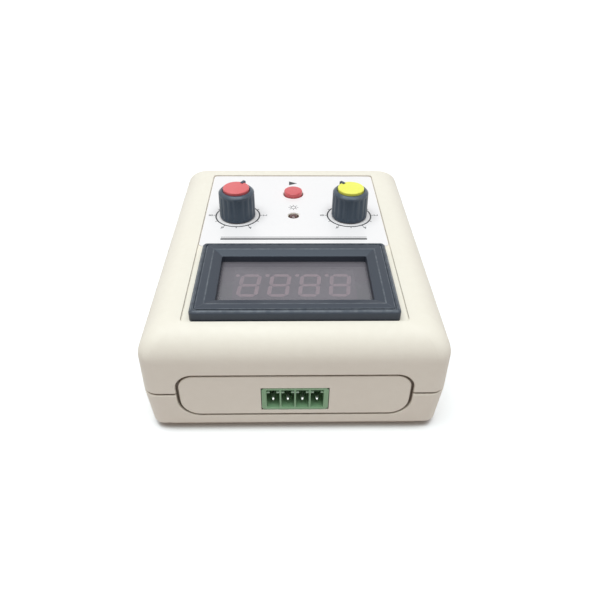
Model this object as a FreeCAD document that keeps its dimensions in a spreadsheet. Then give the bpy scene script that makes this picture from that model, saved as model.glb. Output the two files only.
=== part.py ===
import FreeCAD, Part
import math
import os
import re
import Sketcher
from FreeCAD import Placement, Rotation, Vector

# Component tester in a small two-shell case: a panel meter, two knobs, a start
# button and an indicator on the top, a four-way terminal header in the front end
# wall and a supply inlet in the rear one. Origin at the middle of the base, +Z up,
# the terminal end towards -Y.

# Driving dimensions in millimetres, angles in degrees.
SIZES = {
    # case shells
    "case_length": 90.0,
    "case_width": 72.0,
    "case_height": 30.4,
    "parting_height": 12.9,
    "wall": 2.0,
    "floor_thickness": 3.0,
    "plinth_height": 2.0,
    "plinth_inset": 1.6,
    "top_thickness": 2.5,
    "corner_radius": 3.7,
    "crown_radius": 7.3,
    "shoulder_drop": 7.5,
    "shoulder_inset": 4.5,
    "shoulder_corner": 2.0,
    "bottom_edge_radius": 0.6,
    "top_draft": 1.25,
    "base_draft": 4.0,
    "parting_gap": 0.5,
    "parting_depth": 1.0,
    "parting_chamfer": 0.25,
    "lip_height": 1.5,
    "lip_thickness": 1.0,
    "lip_root": 2.5,
    "lip_gap": 0.1,
    "lip_end_gap": 1.5,
    # screw bosses and case screws
    "boss_inset": 3.6,
    "boss_setback": 9.5,
    "boss_radius": 3.75,
    "top_boss_radius": 3.25,
    "case_screw_radius": 1.3,
    "case_screw_gap": 0.2,
    "thread_gap": 0.05,
    "case_head_radius": 2.4,
    "case_head_height": 1.8,
    "case_head_gap": 0.3,
    "case_seat_height": 5.8,
    "case_screw_reach": 13.0,
    "thread_end_gap": 1.0,
    # recess of the top and the film in it
    "recess_width": 52.0,
    "recess_lead": 0.3,
    "recess_rear_margin": 9.3,
    "recess_depth": 0.5,
    "recess_corner": 1.0,
    "label_thickness": 0.2,
    "label_gap": 0.25,
    "label_bezel_gap": 2.35,
    "label_hole_gap": 0.15,
    # panel meter
    "bezel_width": 48.0,
    "bezel_depth": 29.0,
    "bezel_height": 2.8,
    "bezel_setback": 6.8,
    "bezel_corner": 1.0,
    "bezel_chamfer": 0.45,
    "bezel_border": 3.2,
    "groove_inset": 0.95,
    "groove_width": 0.35,
    "groove_depth": 0.2,
    "facet_width": 2.3,
    "facet_drop": 0.8,
    "skirt_inset": 1.5,
    "skirt_wall": 1.2,
    "skirt_depth": 10.0,
    "cutout_gap": 0.25,
    "barb_width": 8.0,
    "barb_reach": 0.8,
    "barb_height": 1.5,
    "barb_gap": 0.1,
    "post_size": 2.0,
    "window_rise": 0.3,
    "window_thickness": 0.6,
    "window_overlap": 0.5,
    "window_gap": 0.2,
    "digit_gap": 0.3,
    "digit_block_length": 30.2,
    "digit_block_width": 14.0,
    "digit_block_height": 7.2,
    "digit_pitch": 7.5,
    "digit_span": 4.1,
    "digit_half_width": 2.15,
    "digit_slant": 6.0,
    "segment_width": 1.0,
    "segment_gap": 0.12,
    "segment_thickness": 0.1,
    "point_radius": 0.55,
    "point_offset": 3.5,
    "meter_board_thickness": 1.2,
    "meter_board_gap": 0.2,
    "meter_plug_gap": 0.4,
    "meter_plug_length": 8.0,
    "meter_plug_width": 4.5,
    "meter_plug_height": 2.0,
    "board_socket_setback": 23.0,
    "board_socket_height": 3.5,
    "wire_radius": 0.65,
    "wire_pitch": 2.0,
    "wire_bend": 2.0,
    # end panels
    "panel_side": 8.0,
    "panel_sill": 2.2,
    "panel_height": 14.2,
    "panel_top_radius": 4.5,
    "panel_bottom_radius": 5.3,
    "panel_gap": 0.7,
    "panel_inset": 0.4,
    "panel_edge": 0.25,
    "flange_overlap": 1.5,
    "flange_thickness": 1.2,
    "flange_floor_gap": 0.3,
    "rib_thickness": 1.0,
    "rib_gap": 0.2,
    "rib_board_gap": 0.8,
    # terminal header
    "header_pitch": 3.5,
    "header_margin": 0.95,
    "header_height": 7.25,
    "header_depth": 8.0,
    "header_lip": 0.6,
    "header_wall": 0.4,
    "header_back": 1.6,
    "key_width": 0.75,
    "key_height": 0.55,
    "key_drop": 0.75,
    "key_setback": 0.3,
    "header_gap": 0.15,
    "pin_size": 1.0,
    "pin_setback": 0.7,
    "pin_rise": 2.75,
    "pin_leg_gap": 0.6,
    "pin_tail": 1.2,
    "pin_hole_gap": 0.15,
    # main board
    "board_thickness": 1.6,
    "board_side_gap": 0.65,
    "board_end_gap": 0.7,
    "standoff_height": 2.9,
    "standoff_radius": 2.75,
    "board_screw_inset": 3.5,
    "board_screw_setback": 12.0,
    "board_screw_radius": 1.0,
    "board_screw_gap": 0.1,
    "board_head_radius": 2.0,
    "board_head_height": 1.4,
    "board_screw_reach": 2.4,
    "board_thread_gap": 0.2,
    # knobs and rotary controls
    "knob_spacing": 32.66,
    "knob_rear_margin": 35.5,
    "knob_gap": 0.25,
    "knob_base_radius": 5.15,
    "knob_top_radius": 5.07,
    "knob_height": 8.1,
    "knob_chamfer": 0.65,
    "flute_radius": 0.62,
    "flute_depth": 0.2,
    "flute_bottom": 0.7,
    "flute_top": 1.0,
    "cap_radius": 3.75,
    "cap_seat": 1.5,
    "cap_proud": 0.75,
    "cap_gap": 0.05,
    "cap_edge": 0.25,
    "pointer_width": 0.9,
    "pointer_start": 2.9,
    "pointer_end": 4.55,
    "pointer_rise": 0.95,
    "pointer_gap": 0.05,
    "current_pointer": 28.0,
    "voltage_pointer": -36.0,
    "shaft_radius": 3.0,
    "shaft_engagement": 5.6,
    "shaft_clearance": 0.05,
    "knob_bore_gap": 0.03,
    "shaft_hole_radius": 3.5,
    "pot_width": 9.8,
    "pot_depth": 11.0,
    "pot_base_height": 2.8,
    "pot_cover_height": 4.0,
    "bush_radius": 3.6,
    "bush_height": 4.0,
    "rotor_radius": 4.0,
    "rotor_height": 1.9,
    "rotor_clearance": 0.15,
    # start button and its switch
    "button_rear_margin": 22.0,
    "button_radius": 2.82,
    "button_proud": 1.4,
    "button_length": 6.8,
    "button_edge": 0.7,
    "button_gap": 0.2,
    "stem_radius": 1.75,
    "stem_engagement": 4.0,
    "stem_clearance": 0.05,
    "switch_width": 6.0,
    "switch_base_height": 2.8,
    "switch_cover_thickness": 0.3,
    "well_radius": 2.3,
    "well_depth": 1.7,
    "plunger_flange_radius": 2.1,
    "plunger_flange_height": 0.8,
    "dome_radius": 2.2,
    "dome_height": 0.5,
    # indicator
    "led_radius": 1.5,
    "led_height": 5.3,
    "led_proud": 0.25,
    "led_flange_radius": 1.9,
    "led_flange_height": 1.0,
    "led_gap": 0.1,
    "lead_size": 0.5,
    "lead_spacing": 2.54,
    "lead_tail": 1.2,
    "lead_hole_gap": 0.1,
    # supply inlet
    "jack_width": 9.0,
    "jack_length": 14.2,
    "jack_height": 11.0,
    "jack_axis_height": 6.4,
    "jack_bore_radius": 3.15,
    "jack_bore_depth": 9.5,
    "jack_pin_radius": 1.0,
    "jack_pin_length": 8.5,
    "jack_inset": 0.5,
    "jack_gap": 0.2,
    "jack_terminal_size": 1.0,
    "jack_terminal_first": 5.5,
    "jack_terminal_pitch": 3.5,
    # parts of the step-up converter and the control circuit
    "transformer_x": -11.5,
    "transformer_setback": 22.5,
    "bobbin_size": 13.0,
    "bobbin_height": 1.8,
    "core_width": 13.0,
    "core_depth": 5.0,
    "core_height": 6.4,
    "core_yoke": 1.3,
    "core_leg": 3.4,
    "core_side": 1.6,
    "winding_gap": 0.2,
    "winding_build": 1.5,
    "capacitor_offset": 13.0,
    "capacitor_x": 20.0,
    "capacitor_radius": 4.0,
    "capacitor_height": 11.5,
    "capacitor_edge": 0.5,
    "inductor_setback": 40.0,
    "inductor_size": 7.0,
    "inductor_height": 4.0,
    "inductor_edge": 0.8,
    "transistor_x": -9.0,
    "transistor_setback": 33.0,
    "transistor_width": 6.5,
    "transistor_depth": 6.1,
    "transistor_height": 2.3,
    "diode_x": 7.5,
    "diode_setback": 30.0,
    "diode_pitch": 3.5,
    "diode_width": 2.6,
    "diode_length": 4.3,
    "diode_height": 2.2,
    "chip_x": 13.0,
    "chip_setback": 21.0,
    "chip_length": 9.9,
    "chip_width": 3.9,
    "chip_height": 1.5,
    "chip_lead_pitch": 1.27,
    "chip_lead_width": 0.42,
    "chip_lead_reach": 1.05,
    "chip_lead_height": 0.7,
    "resistor_x": 9.0,
    "resistor_pitch": 5.0,
    "resistor_rear_margin": 19.0,
    "resistor_width": 3.2,
    "resistor_length": 6.3,
    "resistor_height": 0.8,
}

# Counts of what repeats.
HEADER_WAYS = 4
FLUTES = 18
CROWN_STEPS = 6
DIGITS = 4
METER_WIRES = 3
JACK_TERMINALS = 3
CHIP_LEADS_PER_SIDE = 8
DIODES = 3
RESISTORS_PER_SIDE = 3

# Places that many pieces share, as expressions of the sizes.
FRONT = "(-case_length / 2)"
REAR = "(case_length / 2)"
PANEL_FLOOR = "(case_height - recess_depth)"
LABEL_TOP = "(case_height - recess_depth + label_thickness)"
CEILING = "(case_height - top_thickness)"
RIM = "(parting_height + parting_gap)"
SPRING = "(case_height - crown_radius)"
SHOULDER = "(case_height - shoulder_drop)"
INNER_X = "(case_width / 2 - wall)"
INNER_Y = "(case_length / 2 - wall)"
BOSS_X = "(case_width / 2 - wall - boss_inset)"
BOSS_Y = "(case_length / 2 - boss_setback)"
BOARD_TOP = "(floor_thickness + standoff_height + board_thickness)"
BOARD_HALF_X = f"({BOSS_X} - boss_radius - board_side_gap)"
BOARD_HALF_Y = f"({INNER_Y} - flange_thickness - board_end_gap)"
BOARD_SCREW_X = f"({BOARD_HALF_X} - board_screw_inset)"
BOARD_SCREW_Y = "(case_length / 2 - board_screw_setback)"
PANEL_HALF = "(case_width / 2 - panel_side)"
PANEL_BOTTOM = "(floor_thickness + panel_sill)"
PANEL_TOP = "(floor_thickness + panel_sill + panel_height)"
METER_Y = f"({FRONT} + bezel_setback + bezel_depth / 2)"
WINDOW_BOTTOM = "(window_rise - window_thickness)"
DIGIT_TOP = f"({WINDOW_BOTTOM} - digit_gap)"
METER_BOARD_TOP = f"({DIGIT_TOP} - digit_block_height)"
METER_PLUG_BOTTOM = f"({PANEL_FLOOR} + {METER_BOARD_TOP} - meter_board_thickness - meter_plug_height)"
METER_ROOM_X = "(bezel_width - 2 * skirt_inset - 2 * skirt_wall)"
METER_ROOM_Y = "(bezel_depth - 2 * skirt_inset - 2 * skirt_wall)"
METER_PLUG_Y = f"({METER_Y} + {METER_ROOM_Y} / 2 - meter_plug_gap - meter_plug_width / 2)"
HEADER_HALF = f"({HEADER_WAYS} * header_pitch / 2 + header_margin)"
HEADER_FRONT = f"({FRONT} + panel_inset)"
HEADER_Z = f"({BOARD_TOP} + pin_rise)"
PIN_LEG_Y = f"({HEADER_FRONT} + header_depth + pin_leg_gap + pin_size / 2)"
KNOB_X = "(knob_spacing / 2)"
KNOB_Y = f"({REAR} - knob_rear_margin)"
KNOB_BOTTOM = f"({LABEL_TOP} + knob_gap)"
BUTTON_Y = f"({REAR} - button_rear_margin)"
BUTTON_BOTTOM = f"({LABEL_TOP} + button_proud - button_length)"
LED_BOTTOM = f"({LABEL_TOP} + led_proud - led_height)"
JACK_AXIS_Z = f"({BOARD_TOP} + jack_axis_height)"
JACK_REAR = f"({REAR} - jack_inset)"

CORNERS = [(sx, sy) for sx in ("-", "") for sy in ("-", "")]
TINY = 1e-4
WORD = re.compile(r"[a-z][a-z_]*")

doc = FreeCAD.newDocument("ComponentTester")
sheet = doc.addObject("Spreadsheet::Sheet", "sizes")
for row, (size_name, number) in enumerate(SIZES.items(), 1):
    sheet.set(f"A{row}", size_name)
    sheet.set(f"B{row}", str(number))
    sheet.setAlias(f"B{row}", size_name)
doc.recompute()

nodes = {}


def full(text):
    """Name the sheet before every size in an expression."""
    return WORD.sub(lambda m: f"sizes.{m.group()}" if m.group() in SIZES else m.group(), str(text))


def value(text):
    """The number that an expression of sizes comes to."""
    return float(sheet.evalExpression(full(text)))


def bind(item, **expressions):
    """Bind properties of an object, or parts of its place x, y and z, to expressions."""
    for name, text in expressions.items():
        path = f"Placement.Base.{name}" if name in ("x", "y", "z") else name
        item.setExpression(path, full(text))
    return item


def node(label, item):
    """Keep an object as the sub-part of that name."""
    item.Label = label
    nodes[label] = item
    return item


# Part primitives and booleans.

def block(x, y, z, dx, dy, dz):
    """A block centred on x and y, standing on z."""
    item = doc.addObject("Part::Box", "Block")
    bind(item, Length=dx, Width=dy, Height=dz)
    return bind(item, x=f"{x} - ({dx}) / 2", y=f"{y} - ({dy}) / 2", z=z)


def rod(x, y, z, radius, height):
    """An upright cylinder standing on z."""
    item = doc.addObject("Part::Cylinder", "Rod")
    return bind(item, Radius=radius, Height=height, x=x, y=y, z=z)


def rod_along_y(x, y, z, radius, length):
    """A cylinder that runs from y towards -Y."""
    item = doc.addObject("Part::Cylinder", "Rod")
    item.Placement = Placement(Vector(), Rotation(Vector(1, 0, 0), 90))
    return bind(item, Radius=radius, Height=length, x=x, y=y, z=z)


def fuse(*items):
    joined = doc.addObject("Part::MultiFuse", "Fuse")
    joined.Shapes = list(items)
    return joined


def group(*items):
    """Separate solids kept as one sub-part."""
    together = doc.addObject("Part::Compound", "Group")
    together.Links = list(items)
    return together


def cut(base, *tools):
    result = doc.addObject("Part::Cut", "Cut")
    result.Base = base
    result.Tool = tools[0] if len(tools) == 1 else group(*tools)
    return result


# Bodies, sketches and features.

def new_body(label, x="0", y="0", z="0", turn=0):
    body = doc.addObject("PartDesign::Body", label)
    body.Placement = Placement(Vector(), Rotation(Vector(0, 0, 1), turn))
    return node(label, bind(body, x=x, y=y, z=z))


def sketch(body, plane, level):
    """An empty sketch on a body's XY plane at a height, or on its XZ plane at a depth."""
    item = body.newObject("Sketcher::SketchObject", "Outline")
    support = next(f for f in body.Origin.OriginFeatures if f.Role == plane + "_Plane")
    item.AttachmentSupport = [(support, "")]
    item.MapMode = "FlatFace"
    sign = "-" if plane == "XZ" else ""
    item.setExpression("AttachmentOffset.Base.z", full(f"{sign}({level})"))
    return item


def constrain(item, kind, *where, to):
    """Add a dimension to a sketch and bind it to an expression."""
    index = item.addConstraint(Sketcher.Constraint(kind, *where, value(to)))
    item.setExpression(f"Constraints[{index}]", full(to))


def fix_point(item, line, end, x, y):
    constrain(item, "DistanceX", -1, 1, line, end, to=x)
    constrain(item, "DistanceY", -1, 1, line, end, to=y)


def circle(item, x, y, radius):
    centre = Vector(value(x), value(y), 0)
    index = item.addGeometry(Part.Circle(centre, Vector(0, 0, 1), value(radius)), False)
    fix_point(item, index, 3, x, y)
    constrain(item, "Radius", index, to=radius)


def polygon(item, corners):
    """A closed outline through corners given as pairs of expressions."""
    points = [Vector(value(x), value(y), 0) for x, y in corners]
    count = len(points)
    first = item.GeometryCount
    for i in range(count):
        item.addGeometry(Part.LineSegment(points[i], points[(i + 1) % count]), False)
    for i in range(count):
        item.addConstraint(Sketcher.Constraint("Coincident", first + i, 2, first + (i + 1) % count, 1))
    for i, (x, y) in enumerate(corners):
        fix_point(item, first + i, 1, x, y)


def rectangle(item, left, right, low, high):
    polygon(item, [(left, low), (right, low), (right, high), (left, high)])


def rounded(item, left, right, low, high, low_radius, high_radius=None):
    """A rectangle with round corners; its upper corners may have a radius of their own."""
    high_radius = high_radius or low_radius
    x0, x1, y0, y1 = (value(text) for text in (left, right, low, high))
    r0, r1 = value(low_radius), value(high_radius)
    lines = [((x0 + r0, y0), (x1 - r0, y0)), ((x1, y0 + r0), (x1, y1 - r1)),
             ((x1 - r1, y1), (x0 + r1, y1)), ((x0, y1 - r1), (x0, y0 + r0))]
    arcs = [((x1 - r0, y0 + r0), r0, 270), ((x1 - r1, y1 - r1), r1, 0),
            ((x0 + r1, y1 - r1), r1, 90), ((x0 + r0, y0 + r0), r0, 180)]
    first = item.GeometryCount
    for start, end in lines:
        item.addGeometry(Part.LineSegment(Vector(*start, 0), Vector(*end, 0)), False)
    for centre, radius, start in arcs:
        ring = Part.Circle(Vector(*centre, 0), Vector(0, 0, 1), radius)
        item.addGeometry(Part.ArcOfCircle(ring, math.radians(start), math.radians(start + 90)), False)
    for i in range(4):
        arc = first + 4 + i
        item.addConstraint(Sketcher.Constraint("Tangent", first + i, 2, arc, 1))
        item.addConstraint(Sketcher.Constraint("Tangent", arc, 2, first + (i + 1) % 4, 1))
        item.addConstraint(Sketcher.Constraint("Vertical" if i % 2 else "Horizontal", first + i))
    item.addConstraint(Sketcher.Constraint("Equal", first + 4, first + 7))
    item.addConstraint(Sketcher.Constraint("Equal", first + 5, first + 6))
    constrain(item, "Radius", first + 4, to=low_radius)
    constrain(item, "Radius", first + 5, to=high_radius)
    constrain(item, "DistanceY", -1, 1, first, 1, to=low)
    constrain(item, "DistanceX", -1, 1, first + 1, 1, to=right)
    constrain(item, "DistanceY", -1, 1, first + 2, 1, to=high)
    constrain(item, "DistanceX", -1, 1, first + 3, 1, to=left)


def pad(body, profile, length, along=True):
    """Raise a profile along its sketch's normal, or against it."""
    item = body.newObject("PartDesign::Pad", "Pad")
    item.Profile = profile
    item.Reversed = not along
    return bind(item, Length=length)


def pocket(body, profile, length=None, along=False):
    """Cut a profile against its sketch's normal, or along it; with no length, cut right through."""
    doc.recompute()
    before = body.Shape.Volume
    item = body.newObject("PartDesign::Pocket", "Pocket")
    item.Profile = profile
    item.Reversed = along
    if length is None:
        item.Type = "ThroughAll"
    else:
        bind(item, Length=length)
    doc.recompute()
    if body.Shape.Volume > before - TINY:
        raise RuntimeError(f"a pocket of {body.Label} cuts nothing")
    return item


def revolve(body, profile):
    """Turn a profile on the XZ plane once round the body's Z axis."""
    item = body.newObject("PartDesign::Revolution", "Revolution")
    item.Profile = profile
    item.ReferenceAxis = (profile, ["V_Axis"])
    item.Angle = 360
    return item


def dress(body, kind, size, chosen):
    """Fillet or chamfer the edges of a body that chosen picks."""
    doc.recompute()
    base = body.Tip
    names = [f"Edge{i}" for i, edge in enumerate(base.Shape.Edges, 1) if chosen(edge)]
    item = body.newObject("PartDesign::" + kind, kind)
    item.Base = (base, names)
    bind(item, **{"Radius" if kind == "Fillet" else "Size": size})


def at_height(level):
    """Pick the edges that lie at a height."""
    height = value(level)
    return lambda edge: all(abs(v.Point.z - height) < TINY for v in edge.Vertexes)


def at_depth(level):
    """Pick the edges that lie at a depth."""
    depth = value(level)
    return lambda edge: all(abs(v.Point.y - depth) < TINY for v in edge.Vertexes)


# Case.

def case_outline(item, inset="0", corner=None):
    """The case's outline in plan, drawn in by an inset; its corners may have a radius of their own."""
    x, y = f"case_width / 2 - {inset}", f"case_length / 2 - {inset}"
    rounded(item, f"-({x})", x, f"-({y})", y, corner or f"corner_radius - {inset}")


def crown(body):
    """Roll the walls of the top shell over to its flat top, through outlines at rising heights."""
    drawn_in = f"({SPRING} - {RIM}) * tan(top_draft)"
    levels = []
    for step in range(CROWN_STEPS + 1):
        turn = math.radians(90 * step / CROWN_STEPS)
        rise, inset = round(math.sin(turn), 5), round(1 - math.cos(turn), 5)
        level = sketch(body, "XY", f"{SPRING} + {rise} * crown_radius")
        case_outline(level, f"({drawn_in} + {inset} * crown_radius)", f"corner_radius - {drawn_in}")
        levels.append(level)
    item = body.newObject("PartDesign::AdditiveLoft", "Crown")
    item.Profile = levels[0]
    item.Sections = levels[1:]


def panel_opening(body):
    """Cut the openings of both end panels through a shell."""
    opening = sketch(body, "XZ", REAR)
    rounded(opening, f"-{PANEL_HALF}", PANEL_HALF, PANEL_BOTTOM, PANEL_TOP,
            "panel_bottom_radius", "panel_top_radius")
    pocket(body, opening, along=True)
    reach, low, high = value(PANEL_HALF) + TINY, value(PANEL_BOTTOM) - TINY, value(PANEL_TOP) + TINY
    outside = value(f"{REAR} - parting_depth") + TINY

    def on_rim(edge):
        spots = [v.Point for v in edge.Vertexes]
        return all(abs(p.x) < reach and abs(p.y) > outside and low < p.z < high for p in spots)
    dress(body, "Fillet", "panel_edge", on_rim)


def at_bosses(item, radius):
    for sx, sy in CORNERS:
        circle(item, f"{sx}{BOSS_X}", f"{sy}{BOSS_Y}", radius)


def panel_ribs(body, low, height):
    """Upright ribs that hold the flanges of the end panels from inside."""
    near = f"({INNER_Y} - flange_thickness - rib_gap)"
    ribs = sketch(body, "XY", low)
    start, stop = f"({BOARD_HALF_X} + rib_board_gap)", f"({INNER_X} + wall / 4)"
    for sx, sy in CORNERS:
        rectangle(ribs, f"{sx}{start}", f"{sx}{stop}", f"{sy}{near}", f"{sy}({near} - rib_thickness)")
    pad(body, ribs, height)


def make_top_shell():
    body = new_body("top_shell")
    outer = sketch(body, "XY", RIM)
    case_outline(outer)
    bind(pad(body, outer, f"{SPRING} - {RIM}"), TaperAngle="-top_draft")
    crown(body)
    dress(body, "Chamfer", "parting_chamfer", at_height(RIM))
    skirt = sketch(body, "XY", "parting_height")
    case_outline(skirt, "parting_depth")
    pad(body, skirt, "parting_gap")
    inner = sketch(body, "XY", "parting_height")
    case_outline(inner, "wall")
    pocket(body, inner, f"{SHOULDER} - parting_height", along=True)
    upper = sketch(body, "XY", SHOULDER)
    case_outline(upper, "shoulder_inset", "shoulder_corner")
    pocket(body, upper, f"{CEILING} - {SHOULDER}", along=True)
    panel_opening(body)
    recess = sketch(body, "XY", "case_height")
    rounded(recess, "-recess_width / 2", "recess_width / 2", f"{FRONT} + bezel_setback - recess_lead",
            f"{REAR} - recess_rear_margin", "recess_corner")
    pocket(body, recess, "recess_depth")
    holes = sketch(body, "XY", "case_height")
    half_x = "(bezel_width / 2 - skirt_inset + cutout_gap)"
    half_y = "(bezel_depth / 2 - skirt_inset + cutout_gap)"
    rectangle(holes, f"-{half_x}", half_x, f"{METER_Y} - {half_y}", f"{METER_Y} + {half_y}")
    circle(holes, f"-{KNOB_X}", KNOB_Y, "shaft_hole_radius")
    circle(holes, KNOB_X, KNOB_Y, "shaft_hole_radius")
    circle(holes, "0", KNOB_Y, "led_radius + led_gap")
    circle(holes, "0", BUTTON_Y, "button_radius + button_gap")
    pocket(body, holes, "top_thickness")
    bosses = sketch(body, "XY", "parting_height")
    at_bosses(bosses, "top_boss_radius")
    pad(body, bosses, f"{CEILING} - parting_height")
    panel_ribs(body, "parting_height", f"{SHOULDER} - parting_height")
    threads = sketch(body, "XY", "parting_height")
    at_bosses(threads, "case_screw_radius + thread_gap")
    depth = "case_seat_height + case_screw_reach + thread_end_gap - parting_height"
    pocket(body, threads, depth, along=True)


def make_bottom_shell():
    body = new_body("bottom_shell")
    outer = sketch(body, "XY", "parting_height")
    case_outline(outer)
    bind(pad(body, outer, "parting_height - plinth_height", along=False), TaperAngle="-base_draft")
    dress(body, "Fillet", "bottom_edge_radius", at_height("plinth_height"))
    dress(body, "Chamfer", "parting_chamfer", at_height("parting_height"))
    plinth = sketch(body, "XY", "0")
    drawn_in = "((parting_height - plinth_height) * tan(base_draft) + plinth_inset)"
    case_outline(plinth, drawn_in, "corner_radius")
    pad(body, plinth, "plinth_height")
    inner = sketch(body, "XY", "parting_height")
    case_outline(inner, "wall")
    pocket(body, inner, "parting_height - floor_thickness")
    panel_opening(body)
    bosses = sketch(body, "XY", "floor_thickness")
    at_bosses(bosses, "boss_radius")
    pad(body, bosses, "parting_height - floor_thickness")
    panel_ribs(body, "floor_thickness", "parting_height - floor_thickness")
    standoffs = sketch(body, "XY", "floor_thickness")
    at_board_screws(standoffs, "standoff_radius")
    pad(body, standoffs, "standoff_height")
    make_lips(body)
    shanks = sketch(body, "XY", "parting_height")
    at_bosses(shanks, "case_screw_radius + case_screw_gap")
    pocket(body, shanks)
    heads = sketch(body, "XY", "0")
    at_bosses(heads, "case_head_radius + case_head_gap")
    pocket(body, heads, "case_seat_height", along=True)
    threads = sketch(body, "XY", "floor_thickness + standoff_height")
    at_board_screws(threads, "board_screw_radius + thread_gap")
    pocket(body, threads, "board_screw_reach + board_thread_gap")


def make_lips(body):
    """Two lips of the bottom shell that stand inside the top shell's long walls."""
    outside = f"({INNER_X} - lip_gap)"
    inside = f"({outside} - lip_thickness)"
    half = f"({BOSS_Y} - boss_radius - lip_end_gap)"
    root = sketch(body, "XY", "parting_height - lip_root")
    lip = sketch(body, "XY", "parting_height - lip_root")
    for sign in ("-", ""):
        rectangle(root, f"{sign}{inside}", f"{sign}({INNER_X} + wall / 4)", f"-{half}", half)
        rectangle(lip, f"{sign}{inside}", f"{sign}{outside}", f"-{half}", half)
    pad(body, root, "lip_root")
    pad(body, lip, "lip_root + lip_height")


def make_case_screws():
    screws = []
    for sx, sy in CORNERS:
        place = (f"{sx}{BOSS_X}", f"{sy}{BOSS_Y}")
        head = rod(*place, "case_seat_height - case_head_height", "case_head_radius", "case_head_height")
        shank = rod(*place, "case_seat_height", "case_screw_radius", "case_screw_reach")
        screws.append(fuse(head, shank))
    node("case_screws", group(*screws))


def make_end_panel(label, turn):
    """A panel whose face fills the opening of an end wall and whose flange lies behind the wall."""
    body = new_body(label, turn=turn)
    flange = sketch(body, "XZ", f"{FRONT} + wall + flange_thickness")
    half = f"({PANEL_HALF} + flange_overlap)"
    rounded(flange, f"-{half}", half, "floor_thickness + flange_floor_gap",
            f"{PANEL_TOP} + flange_overlap", "panel_bottom_radius", "panel_top_radius")
    pad(body, flange, "flange_thickness")
    face = sketch(body, "XZ", f"{FRONT} + wall")
    half = f"({PANEL_HALF} - panel_gap)"
    rounded(face, f"-{half}", half, f"{PANEL_BOTTOM} + panel_gap", f"{PANEL_TOP} - panel_gap",
            "panel_bottom_radius - panel_gap", "panel_top_radius - panel_gap")
    pad(body, face, "wall - panel_inset")
    dress(body, "Fillet", "panel_edge", at_depth(f"{FRONT} + panel_inset"))
    return body


def make_end_panels():
    front = make_end_panel("front_end_panel", 0)
    hole = sketch(front, "XZ", FRONT)
    half = f"({HEADER_HALF} + header_gap)"
    rectangle(hole, f"-{half}", half, f"{BOARD_TOP} - header_gap",
              f"{BOARD_TOP} + header_height + header_gap")
    pocket(front, hole)
    rear = make_end_panel("rear_end_panel", 180)
    hole = sketch(rear, "XZ", FRONT)
    half = "(jack_width / 2 + jack_gap)"
    rectangle(hole, f"-{half}", half, f"{BOARD_TOP} - jack_gap", f"{BOARD_TOP} + jack_height + jack_gap")
    pocket(rear, hole)


def make_face_label():
    body = new_body("face_label", z=PANEL_FLOOR)
    film = sketch(body, "XY", "0")
    half = "(recess_width / 2 - label_gap)"
    rounded(film, f"-{half}", half, f"{METER_Y} + bezel_depth / 2 + label_bezel_gap",
            f"{REAR} - recess_rear_margin - label_gap", "recess_corner")
    circle(film, f"-{KNOB_X}", KNOB_Y, "shaft_hole_radius + label_hole_gap")
    circle(film, KNOB_X, KNOB_Y, "shaft_hole_radius + label_hole_gap")
    circle(film, "0", KNOB_Y, "led_radius + led_gap + label_hole_gap")
    circle(film, "0", BUTTON_Y, "button_radius + button_gap + label_hole_gap")
    pad(body, film, "label_thickness")


# Panel meter, each piece in the meter's own frame on the recess floor.

def centred(item, width, depth):
    rectangle(item, f"-({width}) / 2", f"({width}) / 2", f"-({depth}) / 2", f"({depth}) / 2")


def make_meter_bezel():
    body = new_body("meter_bezel", y=METER_Y, z=PANEL_FLOOR)
    flange = sketch(body, "XY", "0")
    rounded(flange, "-bezel_width / 2", "bezel_width / 2", "-bezel_depth / 2", "bezel_depth / 2",
            "bezel_corner")
    pad(body, flange, "bezel_height")
    dress(body, "Chamfer", "bezel_chamfer", at_height("bezel_height"))
    skirt = sketch(body, "XY", "0")
    centred(skirt, "bezel_width - 2 * skirt_inset", "bezel_depth - 2 * skirt_inset")
    pad(body, skirt, "skirt_depth", along=False)
    barbs = sketch(body, "XY", f"{CEILING} - {PANEL_FLOOR} - barb_gap")
    reach = "(bezel_width / 2 - skirt_inset + barb_reach)"
    rectangle(barbs, f"-{reach}", reach, "-barb_width / 2", "barb_width / 2")
    pad(body, barbs, "barb_height", along=False)
    room = sketch(body, "XY", "-skirt_depth")
    centred(room, METER_ROOM_X, METER_ROOM_Y)
    pocket(body, room, "skirt_depth + window_rise", along=True)
    dish_x, dish_y = "bezel_width - 2 * bezel_border", "bezel_depth - 2 * bezel_border"
    dish_rim = sketch(body, "XY", "bezel_height")
    centred(dish_rim, dish_x, dish_y)
    dish_floor = sketch(body, "XY", "bezel_height - facet_drop")
    centred(dish_floor, f"{dish_x} - 2 * facet_width", f"{dish_y} - 2 * facet_width")
    dish = body.newObject("PartDesign::SubtractiveLoft", "Dish")
    dish.Profile = dish_rim
    dish.Sections = [dish_floor]
    dish.Ruled = True
    opening = sketch(body, "XY", "bezel_height")
    centred(opening, f"{dish_x} - 2 * facet_width", f"{dish_y} - 2 * facet_width")
    pocket(body, opening, "bezel_height - window_rise")
    groove = sketch(body, "XY", "bezel_height")
    for inset in ("groove_inset", "(groove_inset + groove_width)"):
        centred(groove, f"bezel_width - 2 * {inset}", f"bezel_depth - 2 * {inset}")
    pocket(body, groove, "groove_depth")
    posts = sketch(body, "XY", WINDOW_BOTTOM)
    for sx, sy in CORNERS:
        rectangle(posts, f"{sx}{METER_ROOM_X} / 2", f"{sx}({METER_ROOM_X} / 2 - post_size)",
                  f"{sy}{METER_ROOM_Y} / 2", f"{sy}({METER_ROOM_Y} / 2 - post_size)")
    pad(body, posts, f"{WINDOW_BOTTOM} - {METER_BOARD_TOP}", along=False)


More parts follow.
